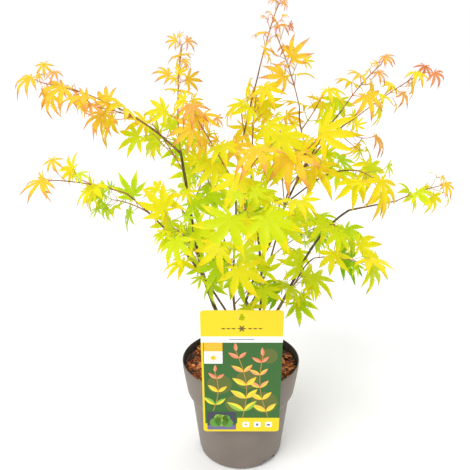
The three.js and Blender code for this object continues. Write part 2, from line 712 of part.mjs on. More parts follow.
// One leaf of a spray: its stalk leaves the shoot at foot, and its blade hangs from
// the stalk's end and turns its face to the light
function dealLeaf(spray, deal, foot, tangent, around, size) {
  const angle = STALK_TURN + STALK_TURN_SPREAD * (2 * deal() - 1);
  const out = turnedOff(tangent, angle, around + TURN_SPREAD * (deal() - 0.5));
  const length = size * (STALK_SHARE + STALK_SHARE_SPREAD * (deal() - 0.5));
  const joint = foot.clone().addScaledVector(out, length);
  const droop = spray.droop * (LEAST_DROOP + DROOP_SPREAD * deal());
  const axis = out.clone().addScaledVector(UP, -droop).normalize();
  const light = new THREE.Vector3(
    Math.cos(radians(spray.face)) * Math.cos(radians(LIGHT_LIFT)),
    Math.sin(radians(spray.face)) * Math.cos(radians(LIGHT_LIFT)),
    Math.sin(radians(LIGHT_LIFT)),
  );
  light.x += LIGHT_SPREAD * (2 * deal() - 1);
  light.y += LIGHT_SPREAD * (2 * deal() - 1);
  light.z += LIGHT_SPREAD * (2 * deal() - 1);
  const normal = light.addScaledVector(axis, -light.dot(axis)).normalize();
  const side = normal.clone().cross(axis);
  return { foot, out, length, joint, axis, normal, side, size };
}

// Places the twigs and leaves of a spray, each clear of all that is taken, and takes
// their room in turn
function placeSpray(spray, taken) {
  const deal = dealer(spray.seed);
  const { name, curve } = shoots.get(spray.name);
  const leaves = [];
  const twigs = [];

  const isClear = (cloud, fromShare) => {
    const later = cloudOf(cloud.points.slice(Math.floor(cloud.points.length * fromShare)), name);
    return taken.every((other) => !meets(other.owner === name ? later : cloud, other));
  };

  const addLeaf = (foot, tangent, around, size) => {
    for (let attempt = 0; attempt < TRIES; attempt += 1) {
      const leaf = dealLeaf(spray, deal, foot, tangent, around, size * (1 - attempt * TRY_SHRINK));
      const blade = leafCloud(leaf, name);
      const stalk = curveCloud(new THREE.LineCurve3(foot, leaf.joint), () => STALK_RADIUS, name);
      const inRoom = blade.points.every((point) => point.place.distanceTo(foot) < SPRAY_ROOM);
      if (inRoom && isClear(blade, 0) && isClear(stalk, OWN_SHARE)) {
        leaves.push(leaf);
        taken.push(blade, stalk);
        return;
      }
    }
  };

  const addPair = (foot, tangent, around, size) => {
    for (const opposite of [0, 180]) {
      addLeaf(foot, tangent, around + opposite, size * (1 + SIZE_SPREAD * (2 * deal() - 1)));
    }
  };

  const addTwig = (foot, tangent, around, size) => {
    const out = turnedOff(tangent, TWIG_TURN, around + TURN_SPREAD * (deal() - 0.5));
    const end = foot.clone().addScaledVector(out, TWIG_LENGTH * (LEAST_TWIG + TWIG_SPREAD * deal()));
    const twig = new THREE.LineCurve3(foot, end);
    const cloud = curveCloud(twig, () => TWIG_RADIUS, name);
    const turn = 180 * deal();
    if (!isClear(cloud, OWN_SHARE)) return;
    twigs.push(twig);
    taken.push(cloud);
    addPair(end, out, turn, size);
  };

  const firstTurn = 180 * deal();
  for (let node = 0; node < spray.pairs; node += 1) {
    const share = mix(FIRST_NODE, 1, node / (spray.pairs - 1));
    const foot = curve.getPointAt(share);
    const tangent = curve.getTangentAt(share);
    const around = firstTurn + PAIR_TURN * node;
    const size = mix(spray.leaf[0], spray.leaf[1], share);
    if (node < spray.twigs) {
      addTwig(foot, tangent, around, size);
      addTwig(foot, tangent, around + 180, size);
    } else {
      addPair(foot, tangent, around, size);
    }
  }
  return { leaves, twigs };
}

function spraySolid(spray, taken) {
  const { leaves, twigs } = placeSpray(spray, taken);
  const pieces = [
    ...twigs.map((twig) => bentBar(twig, () => TWIG_RADIUS, TWIG_SIDES, 1)),
    ...leaves.map(leafGeometry),
  ];
  return pieces.reduce((whole, piece) => whole.add(solidOf(piece)), shoots.get(spray.name).solid);
}

// Main shoots of the sprays, each cut clear of the limbs and of the shoots before it
const shoots = new Map();

function growShoot(spray) {
  const limb = limbs.get(spray.limb);
  const foot = limb.curve.getPointAt(spray.at);
  const bow = toVector(spray.bow);
  const curve = limbCurve(foot, toVector(spray.tip), bow, bow);
  const steps = Math.max(2, Math.round(curve.getLength() / SHOOT_STEP));
  const radiusAt = taper([Math.min(limb.radiusAt(spray.at), SHOOT_FOOT_RADIUS), SHOOT_TIP_RADIUS]);
  let solid = solidOf(bentBar(curve, radiusAt, SHOOT_SIDES, steps));
  for (const other of [...limbs.values(), ...shoots.values()]) solid = solid.subtract(other.grown);
  const grown = solidOf(bentBar(curve, radiusAt, SHOOT_SIDES, steps, GAP));
  shoots.set(spray.name, { name: spray.name, curve, radiusAt, solid: mainBody(solid), grown });
}

SPRAYS.forEach(growShoot);

// Everything that leaves keep clear of: the wood and the card
function cardCloud() {
  const points = [];
  for (let across = -CARD_WIDTH / 2; across <= CARD_WIDTH / 2; across += 2 * POINT_SPACING) {
    for (let up = 0; up <= CARD_ABOVE_RIM; up += 2 * POINT_SPACING) {
      const place = new THREE.Vector3(across, -CARD_FRONT - up * Math.sin(CARD_LEAN), POT_HEIGHT + up);
      points.push({ place, radius: 2 * POINT_RADIUS });
    }
  }
  return cloudOf(points, 'plant_card');
}

const taken = [cardCloud()];
limbs.forEach(({ curve, radiusAt }, name) => taken.push(curveCloud(curve, radiusAt, name)));
shoots.forEach(({ curve, radiusAt }, name) => taken.push(curveCloud(curve, radiusAt, name)));

// Finishes
const finish = (color, roughness) => new THREE.MeshStandardMaterial({ color, roughness, metalness: 0 });
const potPlastic = finish(0x887c72, 0.55);
const pottingMix = finish(0x5a2a12, 0.95);
const printedCard = finish(0xffe600, 0.35);
const bark = finish(0x5a4a18, 0.7);
const LEAF_TINTS = [0xb8d400, 0xf0e800, 0xffc020, 0xf08c50];
const LOWEST_TINT = 340;
const HIGHEST_TINT = 640;

function leafFinish(spray) {
  const share = (spray.tip[2] - LOWEST_TINT) / (HIGHEST_TINT - LOWEST_TINT);
  const tint = THREE.MathUtils.clamp(Math.floor(share * LEAF_TINTS.length), 0, LEAF_TINTS.length - 1);
  return finish(LEAF_TINTS[tint], 0.5);
}

// The whole plant
const plant = new THREE.Group();

function addMesh(name, solid, material, parent = plant) {
  const mesh = new THREE.Mesh(geometryOf(solid), material);
  mesh.name = name;
  parent.add(mesh);
}

addMesh('pot', potSolid(), potPlastic);
addMesh('potting_mix', mixSolid(), pottingMix);

const cardPlace = new THREE.Group();
cardPlace.position.set(0, -CARD_FRONT, POT_HEIGHT);
plant.add(cardPlace);
addMesh('plant_card', cardSolid(), printedCard, cardPlace);

limbs.forEach(({ solid }, name) => addMesh(name, solid, bark));
for (const spray of SPRAYS) addMesh(spray.name, spraySolid(spray, taken), leafFinish(spray));

export default plant;
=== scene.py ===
import json
import math
from collections import namedtuple

import bmesh
import bpy
import numpy as np
from bpy.props import FloatProperty, FloatVectorProperty, IntProperty, PointerProperty
from mathutils import Matrix, Vector, noise

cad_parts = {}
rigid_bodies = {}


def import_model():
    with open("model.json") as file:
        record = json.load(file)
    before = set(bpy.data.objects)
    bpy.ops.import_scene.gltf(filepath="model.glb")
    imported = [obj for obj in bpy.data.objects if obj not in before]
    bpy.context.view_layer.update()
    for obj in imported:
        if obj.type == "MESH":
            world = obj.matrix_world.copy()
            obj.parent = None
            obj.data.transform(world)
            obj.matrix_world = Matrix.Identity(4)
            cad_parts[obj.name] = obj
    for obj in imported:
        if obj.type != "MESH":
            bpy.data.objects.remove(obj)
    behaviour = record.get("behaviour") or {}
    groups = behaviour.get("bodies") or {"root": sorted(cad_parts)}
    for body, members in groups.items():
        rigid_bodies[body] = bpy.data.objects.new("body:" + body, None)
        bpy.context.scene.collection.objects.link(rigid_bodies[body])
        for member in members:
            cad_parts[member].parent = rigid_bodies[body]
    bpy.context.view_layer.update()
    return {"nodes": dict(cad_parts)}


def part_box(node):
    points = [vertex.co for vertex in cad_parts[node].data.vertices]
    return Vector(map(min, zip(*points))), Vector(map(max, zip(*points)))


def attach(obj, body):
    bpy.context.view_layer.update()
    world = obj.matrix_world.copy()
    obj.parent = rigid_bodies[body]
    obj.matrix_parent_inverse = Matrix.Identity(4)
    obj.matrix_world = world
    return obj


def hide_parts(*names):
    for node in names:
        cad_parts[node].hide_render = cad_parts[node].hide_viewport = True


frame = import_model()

bl_info = {
    "name": "Potted Japanese Maple",
    "version": (1, 0, 0),
    "blender": (4, 5, 0),
    "location": "3D View > Sidebar > Maple",
    "description": "Dresses the packed solids of a young japanese maple in a nursery pot",
    "category": "Object",
}

# The imported solids: the pot's and the mix's sizes below are taken from these boxes
POT_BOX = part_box("pot")
MIX_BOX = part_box("potting_mix")
BODY = "root"

# Growth is worked out in millimetres, and the finished meshes are in metres
MM = 0.001
UP = np.array([0.0, 0.0, 1.0])

# Trunk and limbs
TRUNK_FOOT = (3, 2, 151.3)
TRUNK_TOP = (0, 2, 184)
TRUNK_SHARES = (0, 0.12, 0.32, 0.7, 1)
TRUNK_RADII = (10.5, 8.6, 7.2, 6.4, 5.4)
HEAD = (0, 2, 177)
# Each limb grows from its parent at a share of the parent's length, or from the trunk's
# head where no parent is named, to its tip. low and high bow it at a third and at two
# thirds of its length, and radius is at its foot and at its tip.
Limb = namedtuple("Limb", "name parent at tip low high radius")
LIMBS = [Limb(*row) for row in (
    ("stem_left", None, 0, (-89, 0, 501), (-41, -4, -13), (-10, -12, 0), (3.3, 1.9)),
    ("stem_right", None, 0, (154, -34, 420), (29, 6, -25), (-28, -11, 29), (2.7, 1.5)),
    ("stem_middle", None, 0, (-7, -6, 232), (3, 0, 0), (3, 0, 0), (3, 2.3)),
    ("stem_centre", None, 0, (15, -20, 504), (66, 45, -53), (-6, -10, 30), (2.3, 1.3)),
    ("stem_back", None, 0, (12, 42, 240), (-4, 8, -3), (-2, 2, 4), (2.8, 2.1)),
    ("stem_tall", "stem_middle", 1, (-11, -28, 460), (-13, 12, 1), (9, 7, 2), (2, 1.2)),
    ("stem_front_left", "stem_middle", 0.62, (-153, -80, 454), (10, -12, 6), (17, 5, 12), (1.8, 1.1)),
    ("stem_right_inner", "stem_middle", 0.82, (79, -44, 470), (-8, -2, 3), (-5, 1, 2), (2.1, 1.4)),
    ("stem_back_left", "stem_back", 1, (-49, 125, 416), (-17, 21, -18), (0, 15, -6), (2, 1.2)),
    ("stem_back_right", "stem_back", 0.8, (85, 120, 426), (20, 26, -23), (5, 27, -11), (2, 1.2)),
    ("bough_upper_left", "stem_left", 0.985, (-212, 30, 573), (7, -2, 9), (4, 0, 9), (1.6, 1)),
    ("bough_crown_tip", "stem_tall", 0.97, (22, -4, 603), (-4, 6, -1), (-2, 0, 1), (1.2, 0.9)),
    ("bough_tall_right", "stem_right_inner", 1, (80, -18, 561), (24, 5, -4), (-4, 3, -1), (1.3, 0.9)),
    ("bough_right_upper", "stem_right_inner", 0.95, (129, -66, 561), (-2, -2, 0),
     (-7, -3, 4), (1.3, 0.9)),
    ("bough_far_right", "stem_right_inner", 0.9, (165, 20, 544), (-8, 9, 8), (-10, 3, 13), (1.3, 0.9)),
    ("bough_right_mid", "stem_right_inner", 0.85, (139, -85, 486), (-4, -6, 2), (-9, 2, 15), (1.2, 0.9)),
    ("bough_right_end", "stem_right", 1, (222, -28, 432), (0, 1, 0), (0, 1, 0), (1.4, 1)),
    ("bough_right_low", "stem_right", 0.45, (101, -70, 360), (2, -4, -3), (-6, 2, 5), (1.3, 0.9)),
    ("bough_front_centre", "stem_tall", 0.72, (2, -110, 452), (2, -8, 6), (1, -3, 2), (1.2, 0.9)),
    ("bough_front_right", "stem_right_inner", 0.5, (47, -115, 453), (6, -12, -4), (6, -4, 2), (1.3, 0.9)),
)]

# Each spray's main shoot grows from a share of its limb's length to its tip, bowed by
# bow, with opposite pairs of leaves along it. leaf is the length of a leaf at the foot
# and at the tip, face the azimuth that the leaves turn to, and droop how far they hang.
# twigs is how many of the first nodes bear side twigs, seed starts its random numbers,
# and tint is the place on the autumn ramp of its first and of its last leaves.
Spray = namedtuple("Spray", "name limb at tip bow pairs leaf face droop twigs seed tint")
SPRAYS = [Spray(*row) for row in (
    ("left_end", "bough_upper_left", 1, (-287, 42, 593), (0, 0, 4), 3,
     (54, 38), -105, 1.2, 0, 59, (5.6, 5)),
    ("upper_left", "bough_upper_left", 0.45, (-205, -10, 562), (0, 0, 6), 3,
     (50, 46), -100, 0.7, 0, 5, (4.2, 5.2)),
    ("left_top", "stem_left", 1, (-83, 10, 645), (-6, 0, 0), 5, (46, 22), -95, 0.6, 0, 28, (3.6, 5.7)),
    ("left_shoulder", "stem_left", 0.9, (-132, 36, 534), (0, 4, 4), 3,
     (48, 44), -120, 0.6, 1, 28, (2.4, 3.6)),
    ("left_inner", "stem_left", 0.74, (-53, 45, 473), (4, 4, 4), 3, (44, 40), -80, 0.6, 0, 28, (2, 3)),
    ("left_mid", "stem_left", 0.68, (-106, -55, 445), (0, 0, 6), 2, (44, 42), -110, 1, 0, 33, (1.8, 2.6)),
    ("front_left_end", "stem_front_left", 1, (-239, -112, 478), (0, 0, 5), 3,
     (42, 36), -115, 1, 0, 59, (2, 4.6)),
    ("front_left", "stem_front_left", 0.86, (-181, -50, 439), (0, 0, 5), 3,
     (40, 34), -120, 0.6, 0, 10, (1, 2)),
    ("low_left", "stem_left", 0.5, (-90, -105, 414), (0, 0, 12), 3,
     (46, 42), -110, 0.5, 0, 21, (1.6, 2.4)),
    ("left_foot", "stem_left", 0.36, (-62, -72, 364), (0, -4, 6), 2,
     (42, 42), -100, 0.2, 0, 15, (1.6, 2)),
    ("peach", "stem_tall", 1, (-63, -95, 563), (2, -4, -2), 4, (46, 34), -100, 1.1, 0, 30, (4.5, 5.1)),
    ("crown_tip", "bough_crown_tip", 1, (49, 5, 697), (-2, 0, 0), 4,
     (26, 14), -80, 0.7, 0, 9, (4.6, 6.6)),
    ("crown_low", "bough_crown_tip", 0.5, (0, 32, 566), (-2, 2, 2), 2,
     (42, 42), -100, 1.2, 0, 13, (4.4, 4.6)),
    ("centre_top", "stem_centre", 1, (20, -30, 583), (-2, -2, 0), 3,
     (46, 34), -90, 1.2, 0, 29, (3.6, 4.8)),
    ("tall_right", "bough_tall_right", 1, (46, 0, 659), (4, 0, 0), 4,
     (46, 24), -85, 0.7, 0, 20, (4.4, 6.4)),
    ("right_shoulder", "bough_tall_right", 0.7, (112, 8, 572), (2, 0, 0), 2,
     (40, 40), -70, 0.8, 0, 22, (3, 4)),
    ("right_upper", "bough_right_upper", 1, (177, -60, 618), (-3, 0, 2), 4,
     (40, 18), -80, 1.2, 0, 56, (4, 5.2)),
    ("far_right", "bough_far_right", 1, (266, 35, 610), (-2, 0, 3), 4, (38, 26), -70, 1.2, 0, 15, (4, 6)),
    ("far_right_low", "bough_far_right", 0.7, (188, 60, 512), (0, 2, 4), 2,
     (44, 42), -60, 1.1, 1, 30, (2, 5)),
    ("right_mid", "bough_right_mid", 1, (163, -110, 481), (0, 0, 4), 2,
     (42, 42), -75, 1.4, 0, 56, (2.2, 3.4)),
    ("right_knuckle", "stem_right_inner", 0.97, (80, -100, 514), (0, 0, 6), 2,
     (50, 50), -85, 1.1, 0, 9, (4.2, 5)),
    ("right_end", "bough_right_end", 1, (283, -20, 452), (0, 0, 3), 3, (42, 24), -70, 1.2, 0, 3, (3, 4)),
    ("right_side", "stem_right", 0.9, (128, -84, 396), (0, 0, 5), 2, (40, 40), -80, 1, 0, 34, (1.5, 2.2)),
    ("right_low", "bough_right_low", 1, (158, -100, 364), (0, 0, 6), 3,
     (48, 44), -70, 0.5, 0, 26, (1.6, 3)),
    ("right_foot", "stem_right", 0.3, (87, -55, 327), (0, 0, 6), 3, (42, 40), -80, 0.9, 0, 35, (1.4, 2)),
    ("front_centre", "bough_front_centre", 1, (2, -175, 455), (0, 0, 8), 2,
     (46, 50), -90, 1.1, 0, 38, (2.2, 2.6)),
    ("front_right", "bough_front_right", 1, (48, -165, 458), (0, 0, 6), 2,
     (46, 48), -85, 1, 0, 37, (2, 2.6)),
    ("front_upper", "stem_tall", 0.93, (25, -120, 514), (0, 0, 6), 2,
     (46, 48), -90, 0.7, 0, 35, (2.4, 3.4)),
    ("front_low", "stem_tall", 0.3, (-20, -115, 379), (0, 0, 14), 3, (46, 46), -95, 1.1, 0, 32, (1.6, 2)),
    ("front_foot", "stem_tall", 0.12, (26, -72, 322), (0, 0, 6), 3,
     (36, 38), -90, 0.9, 0, 30, (1.7, 2.4)),
    ("back_left", "stem_back_left", 1, (-78, 190, 448), (0, 0, 8), 4, (46, 42), 110, 0.5, 1, 13, (1, 3)),
    ("back_right", "stem_back_right", 1, (140, 172, 462), (0, 0, 8), 4, (46, 40), 65, 0.5, 1, 25, (1, 3)),
    ("back_high", "stem_back_right", 0.85, (64, 104, 532), (-2, 0, 0), 4,
     (44, 40), 90, 0.9, 0, 4, (2, 4)),
    ("back_middle", "stem_back_left", 0.6, (23, 196, 400), (0, 0, 10), 4,
     (46, 44), 90, 0.6, 0, 9, (0.8, 1.6)),
    ("back_low_right", "stem_back_right", 0.45, (158, 160, 345), (0, 0, 12), 4,
     (44, 42), 45, 1, 0, 4, (1, 2)),
    ("back_low_left", "stem_back_left", 0.4, (-95, 150, 335), (0, 0, 12), 4,
     (44, 42), 130, 0.7, 0, 8, (1, 2)),
)]

# The rule by which shoots, twigs and leaves grow
SHOOT_RADIUS = (1.1, 0.7)
FIRST_NODE = 0.3
NEAR_UPRIGHT = 0.2
PAIR_TURN = 90
TURN_SPREAD = 36
SIZE_SPREAD = 0.12
TWIG_LENGTH = 46
LEAST_TWIG = 0.7
TWIG_SPREAD = 0.6
TWIG_RADIUS = 0.8
TWIG_TURN = 42
TRIES = 8
TRY_SHRINK = 0.03
OWN_SHARE = 0.4
CLEARANCE = 0.45
SPRAY_ROOM = 125
BLADE_TURNS = (-92, -66, -43, -21, 0, 21, 43, 66, 92)
BLADE_REACHES = (0.66, 0.36, 0.9, 0.43, 1, 0.43, 0.9, 0.36, 0.66)
BLADE_ARCH = 0.1
STALK_RADIUS = 0.7
STALK_SHARE = 0.5
STALK_SHARE_SPREAD = 0.25
STALK_TURN = 52
STALK_TURN_SPREAD = 14
LEAST_DROOP = 0.6
DROOP_SPREAD = 0.8
LIGHT_LIFT = 35
LIGHT_SPREAD = 0.45
LINE_SPACING = 2
POINT_SPACING = 3.5
POINT_RADIUS = 1.7

# Finer growth that the solids leave out: twiglets between the nodes
TWIGLET_LENGTH = 20
TWIGLET_RADIUS = 0.5
TWIGLET_LEAF = 0.52
FINER_SEED = 500

# Where the card stands: its back leans on the pot's collar, and leaves keep clear of it
CARD_LEAN = math.radians(7.4)
CARD_BACK = 96.06
CARD_HALF = 57
CARD_ABOVE_RIM = 137
CARD_BELOW_RIM = 78
RIM_HEIGHT = POT_BOX[1].z / MM
RIM_RADIUS = POT_BOX[1].x / MM
MIX_TOP = MIX_BOX[1].z / MM


def linear(code):
    """The linear colour of an sRGB hex code."""
    parts = [int(code[i:i + 2], 16) / 255 for i in (1, 3, 5)]
    return tuple(c / 12.92 if c <= 0.04045 else ((c + 0.055) / 1.055) ** 2.4 for c in parts)


def unit(v):
    return v / np.linalg.norm(v, axis=-1, keepdims=True)


class Line:
    """A curve with four controls that is measured by its length, as the solids' limbs are."""

    STEPS = 200
    NEAR = 1e-4

    def __init__(self, foot, tip, low=(0, 0, 0), high=(0, 0, 0)):
        foot, tip = np.array(foot, float), np.array(tip, float)
        chord = tip - foot
        thirds = foot + chord / 3 + np.array(low), foot + chord * 2 / 3 + np.array(high)
        self.controls = (foot, *thirds, tip)
        self.times = np.linspace(0, 1, self.STEPS + 1)
        steps = np.linalg.norm(np.diff(self.point(self.times), axis=0), axis=1)
        self.lengths = np.concatenate([[0], np.cumsum(steps)])
        self.length = self.lengths[-1]

    def point(self, time):
        t = np.asarray(time, float)[..., None]
        a, b, c, d = self.controls
        return a * (1 - t) ** 3 + 3 * b * (1 - t) ** 2 * t + 3 * c * (1 - t) * t ** 2 + d * t ** 3

    def time(self, share):
        return np.interp(np.asarray(share, float) * self.length, self.lengths, self.times)

    def at(self, share):
        return self.point(self.time(share))

    def tangent(self, share):
        time = self.time(share)
        before, after = np.maximum(time - self.NEAR, 0), np.minimum(time + self.NEAR, 1)
        return unit(self.point(after) - self.point(before))


def taper(low, high):
    """The radius at a share of the length of a rod that thins out evenly."""
    return lambda shares: low + (high - low) * np.asarray(shares)


def dealer(seed):
    """A stream of even random numbers from a seed, the same as the solids'."""
    modulus, spread, step = 2147483647, 104729, 48271
    state = seed * spread % modulus
    while True:
        state = state * step % modulus
        yield state / modulus


class Cloud:
    """Points with a radius each, which stand for a piece when pieces are kept apart."""

    def __init__(self, points, radii, owner):
        self.points = np.atleast_2d(points)
        self.radii = np.broadcast_to(radii, len(self.points))
        self.owner = owner
        self.middle = self.points.mean(0)
        self.reach = (np.linalg.norm(self.points - self.middle, axis=1) + self.radii).max()

    def later(self, share):
        start = int(len(self.points) * share)
        return Cloud(self.points[start:], self.radii[start:], self.owner)

    def meets(self, other):
        if np.linalg.norm(self.middle - other.middle) > self.reach + other.reach + CLEARANCE:
            return False
        apart = self.radii[:, None] + other.radii[None, :] + CLEARANCE
        offsets = self.points[:, None, :] - other.points[None, :, :]
        return bool(((offsets ** 2).sum(2) < apart ** 2).any())


def line_cloud(line, radius_at, owner):
    shares = np.linspace(0, 1, math.ceil(line.length / LINE_SPACING) + 1)
    return Cloud(line.at(shares), radius_at(shares), owner)


def card_cloud():
    across = np.arange(-CARD_HALF, CARD_HALF + 1, 2 * POINT_SPACING)
    up = np.arange(0, CARD_ABOVE_RIM + 1, 2 * POINT_SPACING)
    x, u = (grid.ravel() for grid in np.meshgrid(across, up))
    points = np.stack([x, -CARD_BACK - u * math.sin(CARD_LEAN), RIM_HEIGHT + u], 1)
    return Cloud(points, 2 * POINT_RADIUS, "plant_card")


def turned_off(tangent, angle, around):
    """A direction at an angle to a shoot, turned round it from its level side."""
    level = np.cross(tangent, UP)
    if np.linalg.norm(level) < NEAR_UPRIGHT:
        level = np.array([1.0, 0, 0]) - tangent * tangent[0]
    level = unit(level)
    upright = np.cross(level, tangent)
    side = level * math.cos(math.radians(around)) + upright * math.sin(math.radians(around))
    return unit(tangent * math.cos(math.radians(angle)) + side * math.sin(math.radians(angle)))


def leaf_size(spray, share):
    """How long the leaves are at a share of a spray's shoot."""
    return (1 - share) * spray.leaf[0] + share * spray.leaf[1]


class Leaf:
    """One leaf: its stalk leaves the shoot at foot and carries the blade at joint."""

    def __init__(self, spray, deal, foot, tangent, around, size):
        angle = STALK_TURN + STALK_TURN_SPREAD * (2 * next(deal) - 1)
        self.out = turned_off(tangent, angle, around + TURN_SPREAD * (next(deal) - 0.5))
        self.length = size * (STALK_SHARE + STALK_SHARE_SPREAD * (next(deal) - 0.5))
        self.foot = foot
        self.joint = foot + self.out * self.length
        droop = spray.droop * (LEAST_DROOP + DROOP_SPREAD * next(deal))
        self.axis = unit(self.out - UP * droop)
        face, lift = math.radians(spray.face), math.radians(LIGHT_LIFT)
        level = math.cos(lift)
        light = np.array([math.cos(face) * level, math.sin(face) * level, math.sin(lift)])
        light = light + [LIGHT_SPREAD * (2 * next(deal) - 1) for _ in range(3)]
        self.normal = unit(light - self.axis * light.dot(self.axis))
        self.side = np.cross(self.normal, self.axis)
        self.size = size
        self.stalk = Line(foot, self.joint)

    def cloud(self, owner):
        turns = np.radians(BLADE_TURNS)[:, None]
        reaches = np.array(BLADE_REACHES)[:, None] * self.size
        rim = self.joint + self.axis * reaches * np.cos(turns) + self.side * reaches * np.sin(turns)
        rim = rim - self.normal * BLADE_ARCH * reaches ** 2 / self.size
        points = [self.joint[None]]
        for a, b in zip(rim[:-1] - self.joint, rim[1:] - self.joint):
            rows = math.ceil(max(np.linalg.norm(a), np.linalg.norm(b)) / POINT_SPACING)
            for row in range(1, rows + 1):
                start, end = a * row / rows, b * row / rows
                columns = max(1, math.ceil(np.linalg.norm(start - end) / POINT_SPACING))
                shares = np.arange(columns)[:, None] / columns
                points.append(self.joint + start + (end - start) * shares)
        return Cloud(np.concatenate(points), POINT_RADIUS, owner)


class Plant:
    """The whole plant, grown by the solids' rule and then carried to finer twigs."""

    def __init__(self):
        self.limbs = {}
        self.shoots = {}
        self.twigs = []
        self.leaves = []
        self.taken = [card_cloud()]
        trunk = Line(TRUNK_FOOT, TRUNK_TOP)
        self.limbs["trunk"] = (trunk, lambda shares: np.interp(shares, TRUNK_SHARES, TRUNK_RADII))
        for limb in LIMBS:
            self.grow_limb(limb)
        for spray in SPRAYS:
            self.grow_shoot(spray)
        for grown in (self.limbs, self.shoots):
            self.taken += [line_cloud(*rod, name) for name, rod in grown.items()]
        for spray in SPRAYS:
            self.grow_spray(spray)
        for spray in SPRAYS:
            self.grow_finer(spray)

    def grow_limb(self, limb):
        foot = self.limbs[limb.parent][0].at(limb.at) if limb.parent else HEAD
        self.limbs[limb.name] = (Line(foot, limb.tip, limb.low, limb.high), taper(*limb.radius))

    def grow_shoot(self, spray):
        limb, radius_at = self.limbs[spray.limb]
        line = Line(limb.at(spray.at), spray.tip, spray.bow, spray.bow)
        low = min(float(radius_at(spray.at)), SHOOT_RADIUS[0])
        self.shoots[spray.name] = (line, taper(low, SHOOT_RADIUS[1]))

    def is_clear(self, cloud, from_share):
        later = cloud.later(from_share)
        return not any((later if c.owner == cloud.owner else cloud).meets(c) for c in self.taken)

    def add_leaf(self, spray, deal, foot, tangent, around, size, share):
        for attempt in range(TRIES):
            leaf = Leaf(spray, deal, foot, tangent, around, size * (1 - attempt * TRY_SHRINK))
            blade = leaf.cloud(spray.name)
            stalk = line_cloud(leaf.stalk, lambda s: STALK_RADIUS, spray.name)
            in_room = np.linalg.norm(blade.points - foot, axis=1).max() < SPRAY_ROOM
            if in_room and self.is_clear(blade, 0) and self.is_clear(stalk, OWN_SHARE):
                leaf.spray, leaf.share = spray, share
                self.leaves.append(leaf)
                self.taken += [blade, stalk]
                return

    def add_pair(self, spray, deal, foot, tangent, around, size, share):
        for opposite in (0, 180):
            own_size = size * (1 + SIZE_SPREAD * (2 * next(deal) - 1))
            self.add_leaf(spray, deal, foot, tangent, around + opposite, own_size, share)

    def add_twigs(self, spray, deal, share, around, size, length, radius):
        for opposite in (0, 180):
            self.add_twig(spray, deal, share, around + opposite, size, length, radius)

    def add_twig(self, spray, deal, share, around, size, length, radius):
        line, _ = self.shoots[spray.name]
        foot = line.at(share)
        out = turned_off(line.tangent(share), TWIG_TURN, around + TURN_SPREAD * (next(deal) - 0.5))
        twig = Line(foot, foot + out * length * (LEAST_TWIG + TWIG_SPREAD * next(deal)))
        cloud = line_cloud(twig, lambda s: radius, spray.name)
        turn = 180 * next(deal)
        if not self.is_clear(cloud, OWN_SHARE):
            return
        before = len(self.leaves)
        self.taken.append(cloud)
        self.add_pair(spray, deal, twig.at(1), out, turn, size, share)
        if length == TWIG_LENGTH or len(self.leaves) > before:
            self.twigs.append((twig, radius))
        else:
            self.taken.remove(cloud)

    def grow_spray(self, spray):
        deal = dealer(spray.seed)
        line, _ = self.shoots[spray.name]
        first_turn = 180 * next(deal)
        for node in range(spray.pairs):
            rise = node / (spray.pairs - 1)
            share = (1 - rise) * FIRST_NODE + rise
            foot, tangent = line.at(share), line.tangent(share)
            around = first_turn + PAIR_TURN * node
            size = leaf_size(spray, share)
            if node < spray.twigs:
                self.add_twigs(spray, deal, share, around, size, TWIG_LENGTH, TWIG_RADIUS)
            else:
                self.add_pair(spray, deal, foot, tangent, around, size, share)

    def grow_finer(self, spray):
        """Twiglets with small leaves half way between the nodes."""
        deal = dealer(spray.seed + FINER_SEED)
        gaps = spray.pairs - 1
        for gap in range(gaps):
            share = FIRST_NODE + (1 - FIRST_NODE) * (gap + 0.5) / gaps
            around = 180 * next(deal)
            size = TWIGLET_LEAF * leaf_size(spray, share)
            self.add_twigs(spray, deal, share, around, size, TWIGLET_LENGTH, TWIGLET_RADIUS)


# Meshes from arrays, in which a shape is drawn once and its points are then placed
NEARLY_UP = 0.9


def arrays_of(bm):
    """The points and faces of a bmesh, which is freed."""
    bm.verts.ensure_lookup_table()
    points = np.array([v.co[:] for v in bm.verts])
    faces = [[v.index for v in f.verts] for f in bm.faces]
    bm.free()
    return points, faces


def upright_edges(bm):
    """The edges that rise from end to end of a shape one unit high."""
    return [e for e in bm.edges if abs(e.verts[0].co.z - e.verts[1].co.z) > 0.5]


class Pile:
    """Many small shapes that are joined into one mesh."""

    def __init__(self):
        self.points = []
        self.faces = []
        self.slots = []
        self.count = 0

    def add(self, points, faces, slots):
        """Adds a shape with one material slot, or with one for each face."""
        self.points.append(points)
        self.faces += [[i + self.count for i in face] for face in faces]
        self.slots += list(np.broadcast_to(slots, len(faces)))
        self.count += len(points)

    def add_rod(self, shape, line, radius_at, slot, relief=None):
        self.add(bent_rod(shape, line, radius_at, relief), shape[1], slot)

    def mesh(self, name):
        mesh = bpy.data.meshes.new(name)
        mesh.from_pydata(np.concatenate(self.points) * MM, [], self.faces)
        mesh.polygons.foreach_set("material_index", self.slots)
        return mesh


def rod_shape(sides, steps):
    """A closed round rod. Its points are a turn about it and a share of its length."""
    bm = bmesh.new()
    bmesh.ops.create_cone(bm, cap_ends=True, segments=sides, radius1=1, radius2=1, depth=1)
    bmesh.ops.subdivide_edges(bm, edges=upright_edges(bm), cuts=steps - 1)
    points, faces = arrays_of(bm)
    turns = np.arctan2(points[:, 1], points[:, 0])
    return np.stack([turns, points[:, 2] + 0.5], 1), faces


